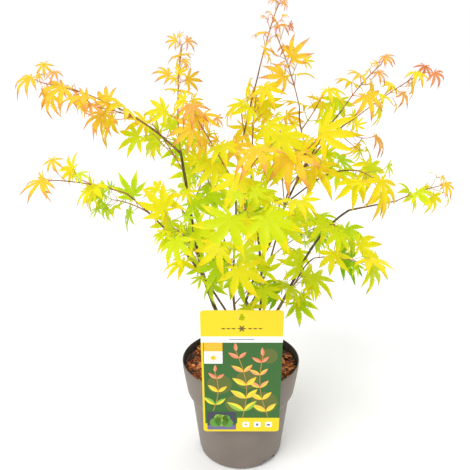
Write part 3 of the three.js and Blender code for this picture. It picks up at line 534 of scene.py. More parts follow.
def bent_rod(shape, line, radius_at, relief=None):
    """The points of a rod shape bent along a line."""
    turns, shares = shape[0].T
    rings, which = np.unique(np.round(shares, 6), return_inverse=True)
    places, tangents = line.at(rings), line.tangent(rings)
    is_up = abs(tangents[0][2]) >= NEARLY_UP
    side = np.cross(tangents[0], (1, 0, 0) if is_up else UP)
    sides = []
    for tangent in tangents:
        side = unit(side - tangent * side.dot(tangent))
        sides.append(side)
    sides = np.array(sides)
    others = np.cross(tangents, sides)
    radii = np.broadcast_to(radius_at(rings), len(rings))[which]
    if relief is not None:
        radii = radii * relief(shares, turns)
    out = sides[which] * np.cos(turns)[:, None] + others[which] * np.sin(turns)[:, None]
    return places[which] + out * radii[:, None]


# Materials
def add_node(tree, kind, inputs=None, **settings):
    """Adds a shader node with its settings, and links or sets its inputs."""
    made = tree.nodes.new(kind)
    for name, value in settings.items():
        setattr(made, name, value)
    for name, value in (inputs or {}).items():
        if isinstance(value, bpy.types.NodeSocket):
            tree.links.new(value, made.inputs[name])
        else:
            made.inputs[name].default_value = value
    return made


def start_material(name):
    """An empty node tree, and the piece's own coordinates."""
    material = bpy.data.materials.new(name)
    material.use_nodes = True
    tree = material.node_tree
    tree.nodes.clear()
    return material, tree, add_node(tree, "ShaderNodeTexCoord").outputs["Object"]


def finish_with(material, shader):
    tree = material.node_tree
    output = add_node(tree, "ShaderNodeOutputMaterial")
    tree.links.new(shader.outputs[0], output.inputs["Surface"])
    return material


def noise_of(tree, place, size, detail):
    """A noise whose pattern repeats about every so many millimetres."""
    inputs = {"Vector": place, "Scale": 1 / (size * MM), "Detail": detail}
    return add_node(tree, "ShaderNodeTexNoise", inputs).outputs["Fac"]


def range_of(tree, value, low, high):
    inputs = {"Value": value, "To Min": low, "To Max": high}
    return add_node(tree, "ShaderNodeMapRange", inputs).outputs["Result"]


def ramp_of(tree, value, *stops):
    ramp = add_node(tree, "ShaderNodeValToRGB", {"Fac": value})
    elements = ramp.color_ramp.elements
    while len(elements) < len(stops):
        elements.new(0.5)
    for element, (position, colour) in zip(elements, stops):
        element.position = position
        element.color = (*colour, 1)
    return ramp.outputs["Color"]


def coated(material, colour, roughness, ior, height, depth):
    """Ends a material with one shader, whose relief is so many millimetres deep."""
    tree = material.node_tree
    relief = add_node(tree, "ShaderNodeBump", {"Height": height, "Distance": depth * MM})
    shader = add_node(tree, "ShaderNodeBsdfPrincipled", {
        "Base Color": colour, "Roughness": roughness, "IOR": ior, "Normal": relief.outputs["Normal"],
    })
    return finish_with(material, shader)


def moulded_polypropylene(colour):
    """Recycled nursery pot plastic, injection moulded: an even satin grey-brown with
    faint flow clouds and a fine grained skin."""
    material, tree, place = start_material("moulded_polypropylene")
    clouds = noise_of(tree, place, 40, 4)
    tint = ramp_of(tree, clouds, (0.3, linear("#EDEBE9")), (0.7, linear("#FFFFFF")))
    factor, first, second = 0, 6, 7
    base = add_node(tree, "ShaderNodeMix", {factor: 1, first: (*colour, 1), second: tint},
                    data_type="RGBA", blend_type="MULTIPLY").outputs[2]
    gloss = range_of(tree, clouds, 0.42, 0.56)
    grain = noise_of(tree, place, 0.9, 2)
    return coated(material, base, gloss, ior=1.49, height=grain, depth=0.03)


def soil_and_painted_shade_polypropylene(colour):
    """The same plastic inside the pot, darkened to half its colour as painted shade of the shadowed inner
    wall, and in blotches, partly splashed peat and partly deeper painted shade, to a sixth.
    """
    material, tree, place = start_material("soil_and_painted_shade_polypropylene")
    splash = noise_of(tree, place, 7, 5)
    # Painted shade: the inner wall keeps half the plastic's colour, and its darkest blotches fall to a
    # sixth
    peat, painted_half_shade = (tuple(share * c for c in colour) for share in (0.16, 0.5))
    base = ramp_of(tree, splash, (0.45, peat), (1, painted_half_shade))
    return coated(material, base, roughness=0.75, ior=1.49, height=splash, depth=0.2)


def bark_chip(name, dark, light):
    """Composted pine bark: damp, fibrous flakes that shine a little on their faces."""
    material, tree, place = start_material(name)
    fibre = noise_of(tree, place, 2.2, 5)
    base = ramp_of(tree, fibre, (0.32, linear(dark)), (0.62, linear(light)))
    return coated(material, base, roughness=0.62, ior=1.5, height=fibre, depth=0.5)


def printed_card(name, code):
    """Printed and varnished polypropylene card: flat ink under a thin even gloss. The
    ink is one colour by nature, and fine pearl in the varnish breaks its shine."""
    material, tree, place = start_material(name)
    varnish = noise_of(tree, place, 1.4, 2)
    return coated(material, (*linear(code), 1), roughness=0.32, ior=1.49, height=varnish, depth=0.01)


def young_bark(name, dark, middle, pale, ridge):
    """Young smooth bark: olive to dark brown, streaked along the stem, with breathing
    pores that break its gloss, and a thin waxy skin."""
    material, tree, place = start_material(name)
    stretched = add_node(tree, "ShaderNodeMapping", {"Vector": place, "Scale": (1, 1, 0.22)})
    streak = noise_of(tree, stretched.outputs["Vector"], 2.6, 5)
    pores = add_node(tree, "ShaderNodeTexVoronoi", {"Vector": place, "Scale": 1 / (4.5 * MM)})
    base = ramp_of(tree, streak, (0.3, linear(dark)), (0.5, linear(middle)), (0.72, linear(pale)))
    gloss = range_of(tree, pores.outputs["Distance"], 0.62, 0.45)
    return coated(material, base, gloss, ior=1.45, height=streak, depth=ridge)


def leaf_stalk(name, code):
    """Leaf stalk and new shoot: smooth, slightly glossy and thinly waxed."""
    material, tree, place = start_material(name)
    skin = noise_of(tree, place, 1.2, 2)
    return coated(material, (*linear(code), 1), roughness=0.42, ior=1.42, height=skin, depth=0.15)


def leaf_blade(name, code):
    """Thin leaf: one autumn tint, which light also shines through, under a soft waxy
    sheen. The tint stays one plain colour, and each leaf or lobe tip takes another."""
    material, tree, place = start_material(name)
    cells = noise_of(tree, place, 3, 3)
    relief = add_node(tree, "ShaderNodeBump", {"Height": cells, "Distance": 0.35 * MM})
    skin = {"Normal": relief.outputs["Normal"]}
    colour = (*linear(code), 1)
    face = add_node(tree, "ShaderNodeBsdfPrincipled", {
        "Base Color": colour, "Roughness": 0.5, "IOR": 1.4, **skin,
    })
    glow = add_node(tree, "ShaderNodeBsdfTranslucent", {"Color": colour, **skin})
    through = 0.35
    both = add_node(tree, "ShaderNodeMixShader", {0: through, 1: face.outputs[0], 2: glow.outputs[0]})
    return finish_with(material, both)


# Sizes and colours that a user would change
def length_of(name, description, default):
    return FloatProperty(name=name, description=description, default=default, min=0, unit="LENGTH",
                         precision=4)


def share_of(name, description, default, most=1):
    return FloatProperty(name=name, description=description, default=default, min=0, max=most,
                         subtype="FACTOR")


def count_of(name, description, default):
    return IntProperty(name=name, description=description, default=default, min=0)


def colour_of(name, description, code):
    return FloatVectorProperty(name=name, description=description, default=linear(code), size=3,
                               min=0, max=1, subtype="COLOR")


class PotSettings(bpy.types.PropertyGroup):
    height: length_of("Height", "From the ground to the top of the rim", RIM_HEIGHT * MM)
    rim_radius: length_of("Rim radius", "Outside radius of the rim", RIM_RADIUS * MM)
    wall: length_of("Wall", "Thickness of the wall", 0.002)
    floor: length_of("Floor", "Thickness of the floor", 0.0025)
    colour: colour_of("Colour", "Colour of the plastic", "#7E736A")


class MixSettings(bpy.types.PropertyGroup):
    top: length_of("Top", "Height of the mix over the ground", MIX_TOP * MM)
    lumps: length_of("Lumps", "How far the surface rises and falls", 0.003)
    chips: count_of("Chips", "Number of bark chips", 1050)
    fibres: count_of("Fibres", "Number of loose fibres", 260)


class CardSettings(bpy.types.PropertyGroup):
    thickness: length_of("Thickness", "Thickness of the card", 0.001)
    corner: length_of("Corner", "Radius of its corners", 0.005)
    ink: length_of("Ink step", "Height of each printed layer over the one below", 0.00008)


class WoodSettings(bpy.types.PropertyGroup):
    ring: length_of("Ring", "Distance between the rings of a limb's mesh", 0.004)
    node: length_of("Node distance", "Distance between the swollen nodes of a limb", 0.042)
    relief: share_of("Relief", "Depth of the bark's relief over the radius", 0.07, 0.5)


class LeafSettings(bpy.types.PropertyGroup):
    lobe_turn: FloatProperty(name="Lobe spread", description="How far a lobe may turn from its place",
                             default=math.radians(7), subtype="ANGLE")
    crease: share_of("Crease", "How deep each lobe is folded along its midrib", 0.38)
    hang: share_of("Hang", "How far lobe tips hang", 0.3)


class StageSettings(bpy.types.PropertyGroup):
    floor: colour_of("Floor", "Colour of the studio floor", "#FAFAFA")
    daylight: FloatProperty(name="Daylight", description="Strength of the even studio light",
                            default=0.68, min=0)


class MapleSettings(bpy.types.PropertyGroup):
    pot: PointerProperty(type=PotSettings)
    mix: PointerProperty(type=MixSettings)
    card: PointerProperty(type=CardSettings)
    wood: PointerProperty(type=WoodSettings)
    leaf: PointerProperty(type=LeafSettings)
    stage: PointerProperty(type=StageSettings)


def settings():
    return bpy.context.scene.maple


# What the operators share
WELD = 0.001
LOOSE_WELD = 1e-4
GROWN = {}


def add_object(name, data):
    made = bpy.data.objects.new(name, data)
    bpy.context.scene.collection.objects.link(made)
    return made


def add_piece(name, mesh, materials, nodes, smooth=30):
    """A finished piece: smooth but for its sharp edges, riding on the plant's body and
    standing for the given solids."""
    piece = add_object(name, mesh)
    for material in materials:
        mesh.materials.append(material)
    mesh.validate()
    mesh.shade_smooth()
    mesh.set_sharp_from_angle(angle=math.radians(smooth))
    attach(piece, BODY)
    if nodes:
        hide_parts(*nodes)
    return piece


def mesh_of(bm, name):
    mesh = bpy.data.meshes.new(name)
    bm.to_mesh(mesh)
    bm.free()
    return mesh


def spun(profile, steps):
    """A bmesh of a profile of radii and heights that is spun round the upright axis."""
    bm = bmesh.new()
    points = [bm.verts.new((radius, 0, height)) for radius, height in profile]
    edges = [bm.edges.new(pair) for pair in zip(points[:-1], points[1:])]
    bmesh.ops.spin(bm, geom=points + edges, cent=(0, 0, 0), axis=(0, 0, 1), angle=2 * math.pi,
                   steps=steps, use_merge=True)
    bmesh.ops.remove_doubles(bm, verts=bm.verts, dist=WELD * MM)
    return bm


def bevel(bm, edges, offset, segments):
    bmesh.ops.bevel(bm, geom=edges, offset=offset, offset_type="OFFSET", segments=segments,
                    profile=0.5, affect="EDGES", material=-1)


def plant():
    """The grown plant, which is grown once for all the pieces."""
    if "plant" not in GROWN:
        GROWN["plant"] = Plant()
    return GROWN["plant"]


# Pot
POT_STEPS = 128
# Down the pot's side, each edge has its depth as a share of the height, and its radius as
# a share of the rim's
POT_SIDE = ((0, 1), (0.0727, 0.9916), (0.3212, 0.9242), (0.3879, 0.8474), (1, 0.7211))
LIP_ROUND = 0.8
SHOULDER_ROUND = 3
FOOT_ROUND = 6
EDGE_REACH = 0.01
INWARD = -0.2
NOTCHES = 3
NOTCH_AZIMUTH = math.radians(-49)
NOTCH_SIZE = (30, 40, 18)
NOTCH_PLACE = 68.5
NOTCH_GAP = 0.3


class MAPLE_OT_nursery_pot(bpy.types.Operator):
    """Spins the nursery pot's wall from its profile and cuts its foot notches"""

    bl_idname = "maple.nursery_pot"
    bl_label = "Nursery pot"

    def profile(self, pot, outside):
        inside = [(radius - pot.wall, height) for radius, height in outside[:-1]]
        (high_radius, high), (low_radius, low) = outside[-2:]
        slope = (high_radius - low_radius) / (high - low)
        inside.append((low_radius - pot.wall + slope * pot.floor, pot.floor))
        return [(0, 0), *reversed(outside), *inside, (0, pot.floor)]

    def round_edge(self, bm, radius, height, offset, segments):
        def is_near(v):
            misses = (v.co.z - height, math.hypot(v.co.x, v.co.y) - radius)
            return all(abs(miss) < EDGE_REACH * MM for miss in misses)

        bevel(bm, [e for e in bm.edges if all(map(is_near, e.verts))], offset * MM, segments)

    def execute(self, context):
        pot = settings().pot
        outside = [(share * pot.rim_radius, (1 - depth) * pot.height) for depth, share in POT_SIDE]
        bm = spun(self.profile(pot, outside), POT_STEPS)
        bmesh.ops.recalc_face_normals(bm, faces=bm.faces)
        rim, _, collar, shoulder, foot = outside
        self.round_edge(bm, *foot, FOOT_ROUND, 5)
        self.round_edge(bm, *shoulder, SHOULDER_ROUND, 4)
        self.round_edge(bm, *collar, SHOULDER_ROUND, 4)
        self.round_edge(bm, *rim, LIP_ROUND, 3)
        self.round_edge(bm, rim[0] - pot.wall, rim[1], LIP_ROUND, 3)
        # Faces that face inward take the second plastic, whose darker colour is painted shade for the
        # inside of the pot
        for face in bm.faces:
            middle = face.calc_center_median()
            outward = face.normal.x * middle.x + face.normal.y * middle.y
            face.material_index = int(outward < INWARD * math.hypot(middle.x, middle.y))
        plastics = [moulded_polypropylene(pot.colour), soil_and_painted_shade_polypropylene(pot.colour)]
        piece = add_piece("nursery_pot", mesh_of(bm, "nursery_pot"), plastics, ["pot"])
        cut_notches(piece, 0)
        return {"FINISHED"}


def cut_notches(piece, gap):
    """Cuts the drainage notches in the foot, grown by a gap, out of a piece."""
    bm = bmesh.new()
    grown = [(size + 2 * gap) * MM for size in NOTCH_SIZE]
    for i in range(NOTCHES):
        turn = Matrix.Rotation(NOTCH_AZIMUTH + math.pi / 2 + i * 2 * math.pi / NOTCHES, 4, "Z")
        place = turn @ Matrix.Translation((0, -NOTCH_PLACE * MM, 0)) @ Matrix.Diagonal((*grown, 1))
        bmesh.ops.create_cube(bm, size=1, matrix=place)
    cutter = add_object("notch_cutter", mesh_of(bm, "notch_cutter"))
    cut = piece.modifiers.new("notches", "BOOLEAN")
    cut.operation = "DIFFERENCE"
    cut.object = cutter
    bpy.context.view_layer.update()
    evaluated = piece.evaluated_get(bpy.context.evaluated_depsgraph_get())
    notched = bpy.data.meshes.new_from_object(evaluated)
    piece.modifiers.clear()
    piece.data = notched
    bpy.data.objects.remove(cutter)


# Potting mix
MIX_FLOOR = MIX_BOX[0].z
MIX_RADIUS = RIM_RADIUS - 4.2
MIX_GAP = 0.4
MIX_RINGS = 30
MIX_STEPS = 96
MIX_PARTS = (
    ("damp_peat", "#1C0D06", "#4A2410"), ("rusty_bark_chip", "#9A4612", "#E8944A"),
    ("brown_bark_chip", "#5E2408", "#A85218"), ("dark_bark_chip", "#140803", "#3C1A08"),
)
EDGE_RISE = 3
EDGE_POWER = 6
# Each size of lump has its place in the noise and its share
LUMPS = ((17, 3.7, 1), (6, 9.1, 0.5))
CHIP_SHARES = (0.3, 0.34, 0.36)
CHIP_ROOM = 0.955
CHIP_LENGTH = (6, 20)
CHIP_WIDTH = (2.6, 7)
CHIP_THICKNESS = (0.8, 2.4)
CHIP_CORNER = 0.28
CHIP_JITTER = 0.22
CHIP_TILTS = (19, 38 / 3)
CHIP_RISE = (-0.3, 2)
CHIP_OFF_WALL = 0.5
TRUNK_ROOM = 15
FIBRE_LENGTH = (12, 34)
FIBRE_OFF_WALL = 2
FIBRE_BOW = 0.7
FIBRE_RISE = (1.2, 2.6)
FIBRE_ARCH = (0, 2)
FIBRE_GIRTH = (0.25, 0.6)


def surface_height(mix, x, y):
    """The height of the mix's lumpy surface, which is raised a little at the wall."""
    lump = sum(share * noise.noise(Vector((x / size, y / size, place))) for size, place, share in LUMPS)
    edge = EDGE_RISE * (math.hypot(x, y) / RIM_RADIUS) ** EDGE_POWER
    return (mix.top + mix.lumps * lump) / MM + edge


class MAPLE_OT_potting_mix(bpy.types.Operator):
    """Fills the pot with lumpy mix and strews bark chips and fibres over it"""

    bl_idname = "maple.potting_mix"
    bl_label = "Potting mix"

    def body_mesh(self, mix):
        pot = settings().pot
        bm = spun([(MIX_RADIUS * MM * i / MIX_RINGS, mix.top) for i in range(MIX_RINGS + 1)], MIX_STEPS)
        for v in bm.verts:
            v.co.z = surface_height(mix, v.co.x / MM, v.co.y / MM) * MM
        rim = [e for e in bm.edges if e.is_boundary]
        for depth, share in POT_SIDE[2:]:
            wall = bmesh.ops.extrude_edge_only(bm, edges=rim)["geom"]
            inner = (share * RIM_RADIUS - MIX_GAP) * MM - pot.wall
            for v in (g for g in wall if isinstance(g, bmesh.types.BMVert)):
                v.co.z = max((1 - depth) * pot.height, MIX_FLOOR)
                spread = inner / math.hypot(v.co.x, v.co.y)
                v.co.x, v.co.y = v.co.x * spread, v.co.y * spread
            rim = [g for g in wall if isinstance(g, bmesh.types.BMEdge)]
        bmesh.ops.holes_fill(bm, edges=rim, sides=0)
        bmesh.ops.recalc_face_normals(bm, faces=bm.faces)
        return mesh_of(bm, "potting_mix_body")

    def execute(self, context):
        mix = settings().mix
        peat, *barks = [bark_chip(*part) for part in MIX_PARTS]
        body = add_piece("potting_mix_body", self.body_mesh(mix), [peat],
                         ["potting_mix"])
        cut_notches(body, NOTCH_GAP)
        rng = np.random.default_rng(11)
        self.strew_chips(mix, rng, barks)
        self.strew_fibres(mix, rng, barks[:2])
        return {"FINISHED"}

    def chip_shape(self):
        """A flat flake with chipped corners, one unit each way."""
        bm = bmesh.new()
        bmesh.ops.create_cube(bm, size=1)
        bevel(bm, upright_edges(bm), CHIP_CORNER, 1)
        return arrays_of(bm)

    def strew_chips(self, mix, rng, materials):
        pile = Pile()
        points, faces = self.chip_shape()
        for _ in range(mix.chips):
            reach = MIX_RADIUS * math.sqrt(rng.random()) * CHIP_ROOM
            turn = rng.random() * 2 * math.pi
            x, y = reach * math.cos(turn), reach * math.sin(turn)
            if math.hypot(x - TRUNK_FOOT[0], y - TRUNK_FOOT[1]) < TRUNK_ROOM:
                continue
            sizes = [rng.uniform(*span) for span in (CHIP_LENGTH, CHIP_WIDTH, CHIP_THICKNESS)]
            jitter = 1 + rng.uniform(-CHIP_JITTER, CHIP_JITTER, points.shape)
            tilt = Matrix.Rotation(rng.random() * 2 * math.pi, 3, "Z")
            for axis, spread in zip("XY", CHIP_TILTS):
                tilt = tilt @ Matrix.Rotation(math.radians(rng.normal(0, spread)), 3, axis)
            middle = np.array([x, y, surface_height(mix, x, y) + rng.uniform(*CHIP_RISE)])
            placed = (points * jitter * sizes) @ np.array(tilt).T + middle
            outside = np.hypot(placed[:, 0], placed[:, 1])
            placed[:, :2] *= np.minimum(1, (MIX_RADIUS - CHIP_OFF_WALL) / outside)[:, None]
            pile.add(placed, faces, rng.choice(3, p=CHIP_SHARES))
        add_piece("bark_chips", pile.mesh("bark_chips"), materials, [])

    def strew_fibres(self, mix, rng, materials):
        pile = Pile()
        shape = rod_shape(3, 6)
        for _ in range(mix.fibres):
            length = rng.uniform(*FIBRE_LENGTH)
            reach = (MIX_RADIUS - length / 2 - FIBRE_OFF_WALL) * math.sqrt(rng.random())
            turn, heading = rng.random(2) * 2 * math.pi
            middle = np.array([reach * math.cos(turn), reach * math.sin(turn), 0])
            along = np.array([math.cos(heading), math.sin(heading), 0]) * length / 2
            bow = np.array([-along[1], along[0], 0]) * rng.uniform(-FIBRE_BOW, FIBRE_BOW)
            middle[2] = surface_height(mix, *middle[:2]) + rng.uniform(*FIBRE_RISE)
            line = Line(middle - along, middle + along - UP, bow + UP, bow + UP * rng.uniform(*FIBRE_ARCH))
            girth = rng.uniform(*FIBRE_GIRTH)
            pile.add_rod(shape, line, taper(girth, girth / 2), rng.integers(2))
        add_piece("bark_fibres", pile.mesh("bark_fibres"), materials, [])


# Plant card. Its face is drawn in millimetres across and up from the rim line.
CARD_TURN = math.pi / 2 + CARD_LEAN
HOOK_HALF = 12
HOOK_REACH = 4.7
HOOK_FLARE = 1
HOOK_DROP = 11.5
HOOK_RISE = 0.3
HOOK_ROUND = 0.35
HOLE_DROP = 12
HOLE_RADIUS = 4.5
SLOT_HALF = 1.7
SLOT_RISE = 7
INKS = {
    "yellow": "#F2D600", "white": "#FFFFFF", "green": "#2C6420", "deep_green": "#5C6A22",
    "amber": "#F5B81E", "coral": "#F08058", "salmon": "#F6A070", "gold": "#FFC83C",
    "sun": "#F2DE30", "stem": "#B98A2C", "olive": "#6B5B14", "plum": "#6F6A94",
    "slate": "#3A3C4C", "shrub": "#8DBB3A", "moss": "#5C9A36", "grey": "#8A8F98",
}
BAND_LOW = 85
BAND_HIGH = 95
PANEL_LOW = -62
PRINT_STEPS = 7
PRINT_SWELL = 0.85
PRINT_BREADTH = 0.36
STEM_HALF = 0.6
TILE = 10
TILE_STEP = 17
# Each patch and shrub has its middle and radius. Each sprig has its foot, tip and bow,
# the lengths of its first and last leaves, and the two inks of each pair of leaves.
PATCHES = ((38, 62, 13), (-32, 12, 18), (34, -22, 20), (8, 20, 17), (-8, -24, 16))
SHRUBS = ((-9, 14, 9, "moss"), (9, 13, 8.5, "moss"), (0, 18, 11, "shrub"), (-5, 24, 6, "shrub"),
          (7, 22, 6, "moss"))
SPRIGS = (
    ((40, -50), (30, 62), -8, (25, 15), (
        ("gold", "sun"), ("sun", "gold"), ("salmon", "gold"), ("gold", "salmon"), ("coral", "salmon"))),
    ((2, -50), (-8, 70), 10, (31, 15), (
        ("sun", "shrub"), ("sun", "gold"), ("gold", "sun"), ("gold", "salmon"), ("salmon", "coral"))),
    ((-42, -38), (-38, 34), 6, (23, 13), (("shrub", "sun"), ("gold", "sun"), ("coral", "salmon"))),
)


def from_rim_line(turn):
    """Carries millimetres over the rim line, turned about it, to the part's frame."""
    return (Matrix.Translation((0, -CARD_BACK * MM, RIM_HEIGHT * MM))
            @ Matrix.Rotation(turn, 4, "X") @ Matrix.Scale(MM, 4))


def round_outline(x, y, radius, steps=24, start=0, sweep=360):
    turns = [math.radians(start + sweep * i / steps) for i in range(steps + (sweep < 360))]
    return [(x + radius * math.cos(t), y + radius * math.sin(t)) for t in turns]


def box_outline(left, bottom, right, top, corner=0, steps=6):
    """A rectangle, with round corners where a corner radius is given."""
    if not corner:
        return [(left, bottom), (right, bottom), (right, top), (left, top)]
    near, far, low, high = left + corner, right - corner, bottom + corner, top - corner
    outline = []
    for x, y, start in ((far, low, -90), (far, high, 0), (near, high, 90), (near, low, 180)):
        outline += round_outline(x, y, corner, steps, start, 90)
    return outline


def leaf_outline(x, y, length, width, turn, half):
    """One long half of a pointed oval leaf, whose foot is at x and y."""
    c, s = math.cos(math.radians(turn)), math.sin(math.radians(turn))
    points = []
    for i in range(PRINT_STEPS + 1):
        share = i / PRINT_STEPS
        along, out = length * share, half * width / 2 * math.sin(math.pi * share ** PRINT_SWELL)
        points.append((x + c * along - s * out, y + s * along + c * out))
    return points if half < 0 else points[::-1]


def extrude(bm, faces, offset):
    """Moves faces by an offset and closes the solid between."""
    made = bmesh.ops.extrude_face_region(bm, geom=faces)["geom"]
    far = [g for g in made if isinstance(g, bmesh.types.BMVert)]
    bmesh.ops.translate(bm, verts=far, vec=offset)
    bmesh.ops.recalc_face_normals(bm, faces=bm.faces)


class MAPLE_OT_plant_card(bpy.types.Operator):
    """Cuts the plant card with its hang hole and hook, and prints its face"""

    bl_idname = "maple.plant_card"
    bl_label = "Plant card"

    def execute(self, context):
        card = settings().card
        inks = {name: printed_card(f"card_ink_{name}", code) for name, code in INKS.items()}
        self.cut_card(card, inks["yellow"])
        self.layers = []
        self.print_face()
        self.add_print(card, inks)
        return {"FINISHED"}

    def cut_card(self, card, material):
        middle = CARD_ABOVE_RIM - HOLE_DROP
        edge = math.degrees(math.asin(SLOT_HALF / HOLE_RADIUS))
        hole = [(SLOT_HALF, middle + SLOT_RISE), (-SLOT_HALF, middle + SLOT_RISE)]
        hole += round_outline(0, middle, HOLE_RADIUS, 24, 90 + edge, 360 - 2 * edge)
        bm = bmesh.new()
        for loop in (box_outline(-CARD_HALF, -CARD_BELOW_RIM, CARD_HALF, CARD_ABOVE_RIM,
                                 card.corner / MM, 8), hole):
            points = [bm.verts.new((x, y, 0)) for x, y in loop]
            for pair in zip(points, points[1:] + points[:1]):
                bm.edges.new(pair)
        bmesh.ops.remove_doubles(bm, verts=bm.verts, dist=LOOSE_WELD)
        bmesh.ops.triangle_fill(bm, use_beauty=True, edges=bm.edges)
        extrude(bm, bm.faces[:], (0, 0, card.thickness / MM))
        bmesh.ops.transform(bm, matrix=from_rim_line(CARD_TURN), verts=bm.verts)
        bm.from_mesh(self.hook_mesh(card))
        add_piece("plant_card_blank", mesh_of(bm, "plant_card_blank"), [material],
                  ["plant_card"])

    def hook_mesh(self, card):
        """The tongue that hooks over the rim and down inside the wall."""
        thick = card.thickness / MM
        reach, end = HOOK_REACH, HOOK_REACH + HOOK_FLARE
        side = ((-thick, HOOK_RISE), (reach, HOOK_RISE), (end, -HOOK_DROP), (end + thick, -HOOK_DROP),
                (reach + thick, HOOK_RISE + thick), (-thick, HOOK_RISE + thick))
        bm = bmesh.new()
        end_face = bm.faces.new([bm.verts.new((-HOOK_HALF, y, z)) for y, z in side])
        extrude(bm, [end_face], (2 * HOOK_HALF, 0, 0))
        across = [e for e in bm.edges if abs(e.verts[0].co.x - e.verts[1].co.x) > HOOK_HALF]
        bevel(bm, across, HOOK_ROUND, 3)
        bmesh.ops.transform(bm, matrix=from_rim_line(0), verts=bm.verts)
        return mesh_of(bm, "plant_card_hook")

    def ink(self, colour, layer, outline):
        self.layers.append((outline, colour, layer))

    def box(self, colour, layer, *sides):
        self.ink(colour, layer, box_outline(*sides))

    def disc(self, colour, layer, *circle):
        self.ink(colour, layer, round_outline(*circle))

    def print_leaf(self, x, y, length, turn, dark, light, layer=3, width=None):
        for half, colour in ((-1, dark), (1, light)):
            outline = leaf_outline(x, y, length, width or PRINT_BREADTH * length, turn, half)
            self.ink(colour, layer, outline)

    def print_face(self):
        """Bands, a picture panel with sprigs of pointed leaves, and plain pictograms."""
        left, right, low = -CARD_HALF, CARD_HALF, -CARD_BELOW_RIM
        self.box("white", 1, left, BAND_LOW, right, BAND_HIGH)
        self.box("green", 1, left + 3, PANEL_LOW, right, BAND_LOW)
        self.print_ornament(0, 108)
        self.box("grey", 2, -18, 89.2, 18, 90.8, 0.8)
        self.print_seasons_box(left + 4, 49, BAND_LOW)
        for patch in PATCHES:
            self.disc("deep_green", 2, *patch, 32)
        for sprig in SPRIGS:
            self.print_sprig(*sprig)
        self.print_shrub_picture(left + 6, low + 4, -8, -40)
        self.print_care_signs(low + 3, PANEL_LOW - 1, -51)

    def print_ornament(self, x, y):
        """A small rosette between two rows of leaves."""
        for i in range(6):
            self.print_leaf(x, y, 6.4, 60 * i, "olive", "olive", 1)
        for side in (-1, 1):
            for i in range(3):
                foot = x + side * (8.5 + 7 * i)
                self.print_leaf(foot, y, 6.2, 90 - 90 * side, "olive", "olive", 1)

    def print_seasons_box(self, left, bottom, top):
        """A small box with three bars in its head and a plain rosette under them."""
        right = left + 26
        self.box("white", 2, left, bottom, right, top)
        self.box("amber", 3, left, top - 15, right, top)
        for i in range(3):
            self.box("gold", 4, left + 3, top - 5 - 4 * i, right - 3, top - 3.4 - 4 * i, 0.8)
        x, y = (left + right) / 2, bottom + 10
        self.disc("gold", 3, x, y, 7.4, 32)
        self.disc("white", 4, x, y, 6.6, 32)
        for i in range(8):
            self.print_leaf(x, y, 5.8, 45 * i, "amber", "sun", 5, 2.2)

    def print_sprig(self, foot, tip, bow, leaves, tints):
        """A bowed sprig with leaves in pairs, which get shorter from leaves[0] to leaves[1]."""
        width, height = tip[0] - foot[0], tip[1] - foot[1]
        steps = 4 * len(tints)
        spine = []
        for i in range(steps + 1):
            share = i / steps
            sag = bow * math.sin(math.pi * share)
            spine.append((foot[0] + width * share + sag, foot[1] + height * share))
        for (x, y), (a, b) in zip(spine[:-1], spine[1:]):
            outline = [(x - STEM_HALF, y), (x + STEM_HALF, y), (a + STEM_HALF, b), (a - STEM_HALF, b)]
            self.ink("stem", 3, outline)
        heading = math.degrees(math.atan2(height, width))
        for pair, (dark, light) in enumerate(tints):
            x, y = spine[2 + 4 * pair]
            length = leaves[0] + (leaves[1] - leaves[0]) * pair / len(tints)
            self.print_leaf(x, y, length, heading + 52, dark, light)
            self.print_leaf(x, y, length * 0.86, heading - 48, light, dark, 4)
        self.print_leaf(*spine[-1], leaves[1], heading, *tints[-1], 4)

    def print_shrub_picture(self, left, bottom, right, top):
        self.box("slate", 4, left, bottom, right, top)
        self.box("plum", 5, left, bottom, right, bottom + 9)
        for x, y, radius, colour in SHRUBS:
            self.disc(colour, 6, (left + right) / 2 + x, bottom + y, radius, 20)

    def print_care_signs(self, bottom, strip_low, strip_high):
        """Three white tiles: a sun, a drop and a mound of earth."""
        self.box("yellow", 4, -6, strip_low, CARD_HALF, strip_high)
        for left in (2, 2 + TILE_STEP, 2 + 2 * TILE_STEP):
            self.box("white", 5, left, bottom + 6, left + TILE, bottom + 6 + TILE, 2)
        x, y = 2 + TILE / 2, bottom + 6 + TILE / 2
        self.disc("amber", 6, x, y, 2.2, 20)
        self.print_leaf(x + TILE_STEP, y - 3, 6, 90, "plum", "plum", 6, 4)
        self.disc("slate", 6, x + 2 * TILE_STEP, y - 2, 3, 12, 0, 180)

    def add_print(self, card, inks):
        names = list(inks)
        bm = bmesh.new()
        for outline, colour, layer in self.layers:
            height = (card.thickness + card.ink * layer) / MM
            face = bm.faces.new([bm.verts.new((x, y, height)) for x, y in outline])
            face.material_index = names.index(colour)
        bm.normal_update()
        bmesh.ops.reverse_faces(bm, faces=[f for f in bm.faces if f.normal.z < 0])
        bmesh.ops.transform(bm, matrix=from_rim_line(CARD_TURN), verts=bm.verts)
        add_piece("card_print", mesh_of(bm, "card_print"), list(inks.values()), [])


# Wood
LIMB_SIDES = 14
LEAST_RINGS = 8
KNUCKLE_RISE = 0.15
KNUCKLE_LENGTH = 2.6
RIDGE_TURN = 1.3
RIDGE_LENGTH = 14
THIN_LIMB = 2
ROD_SMOOTH = 60


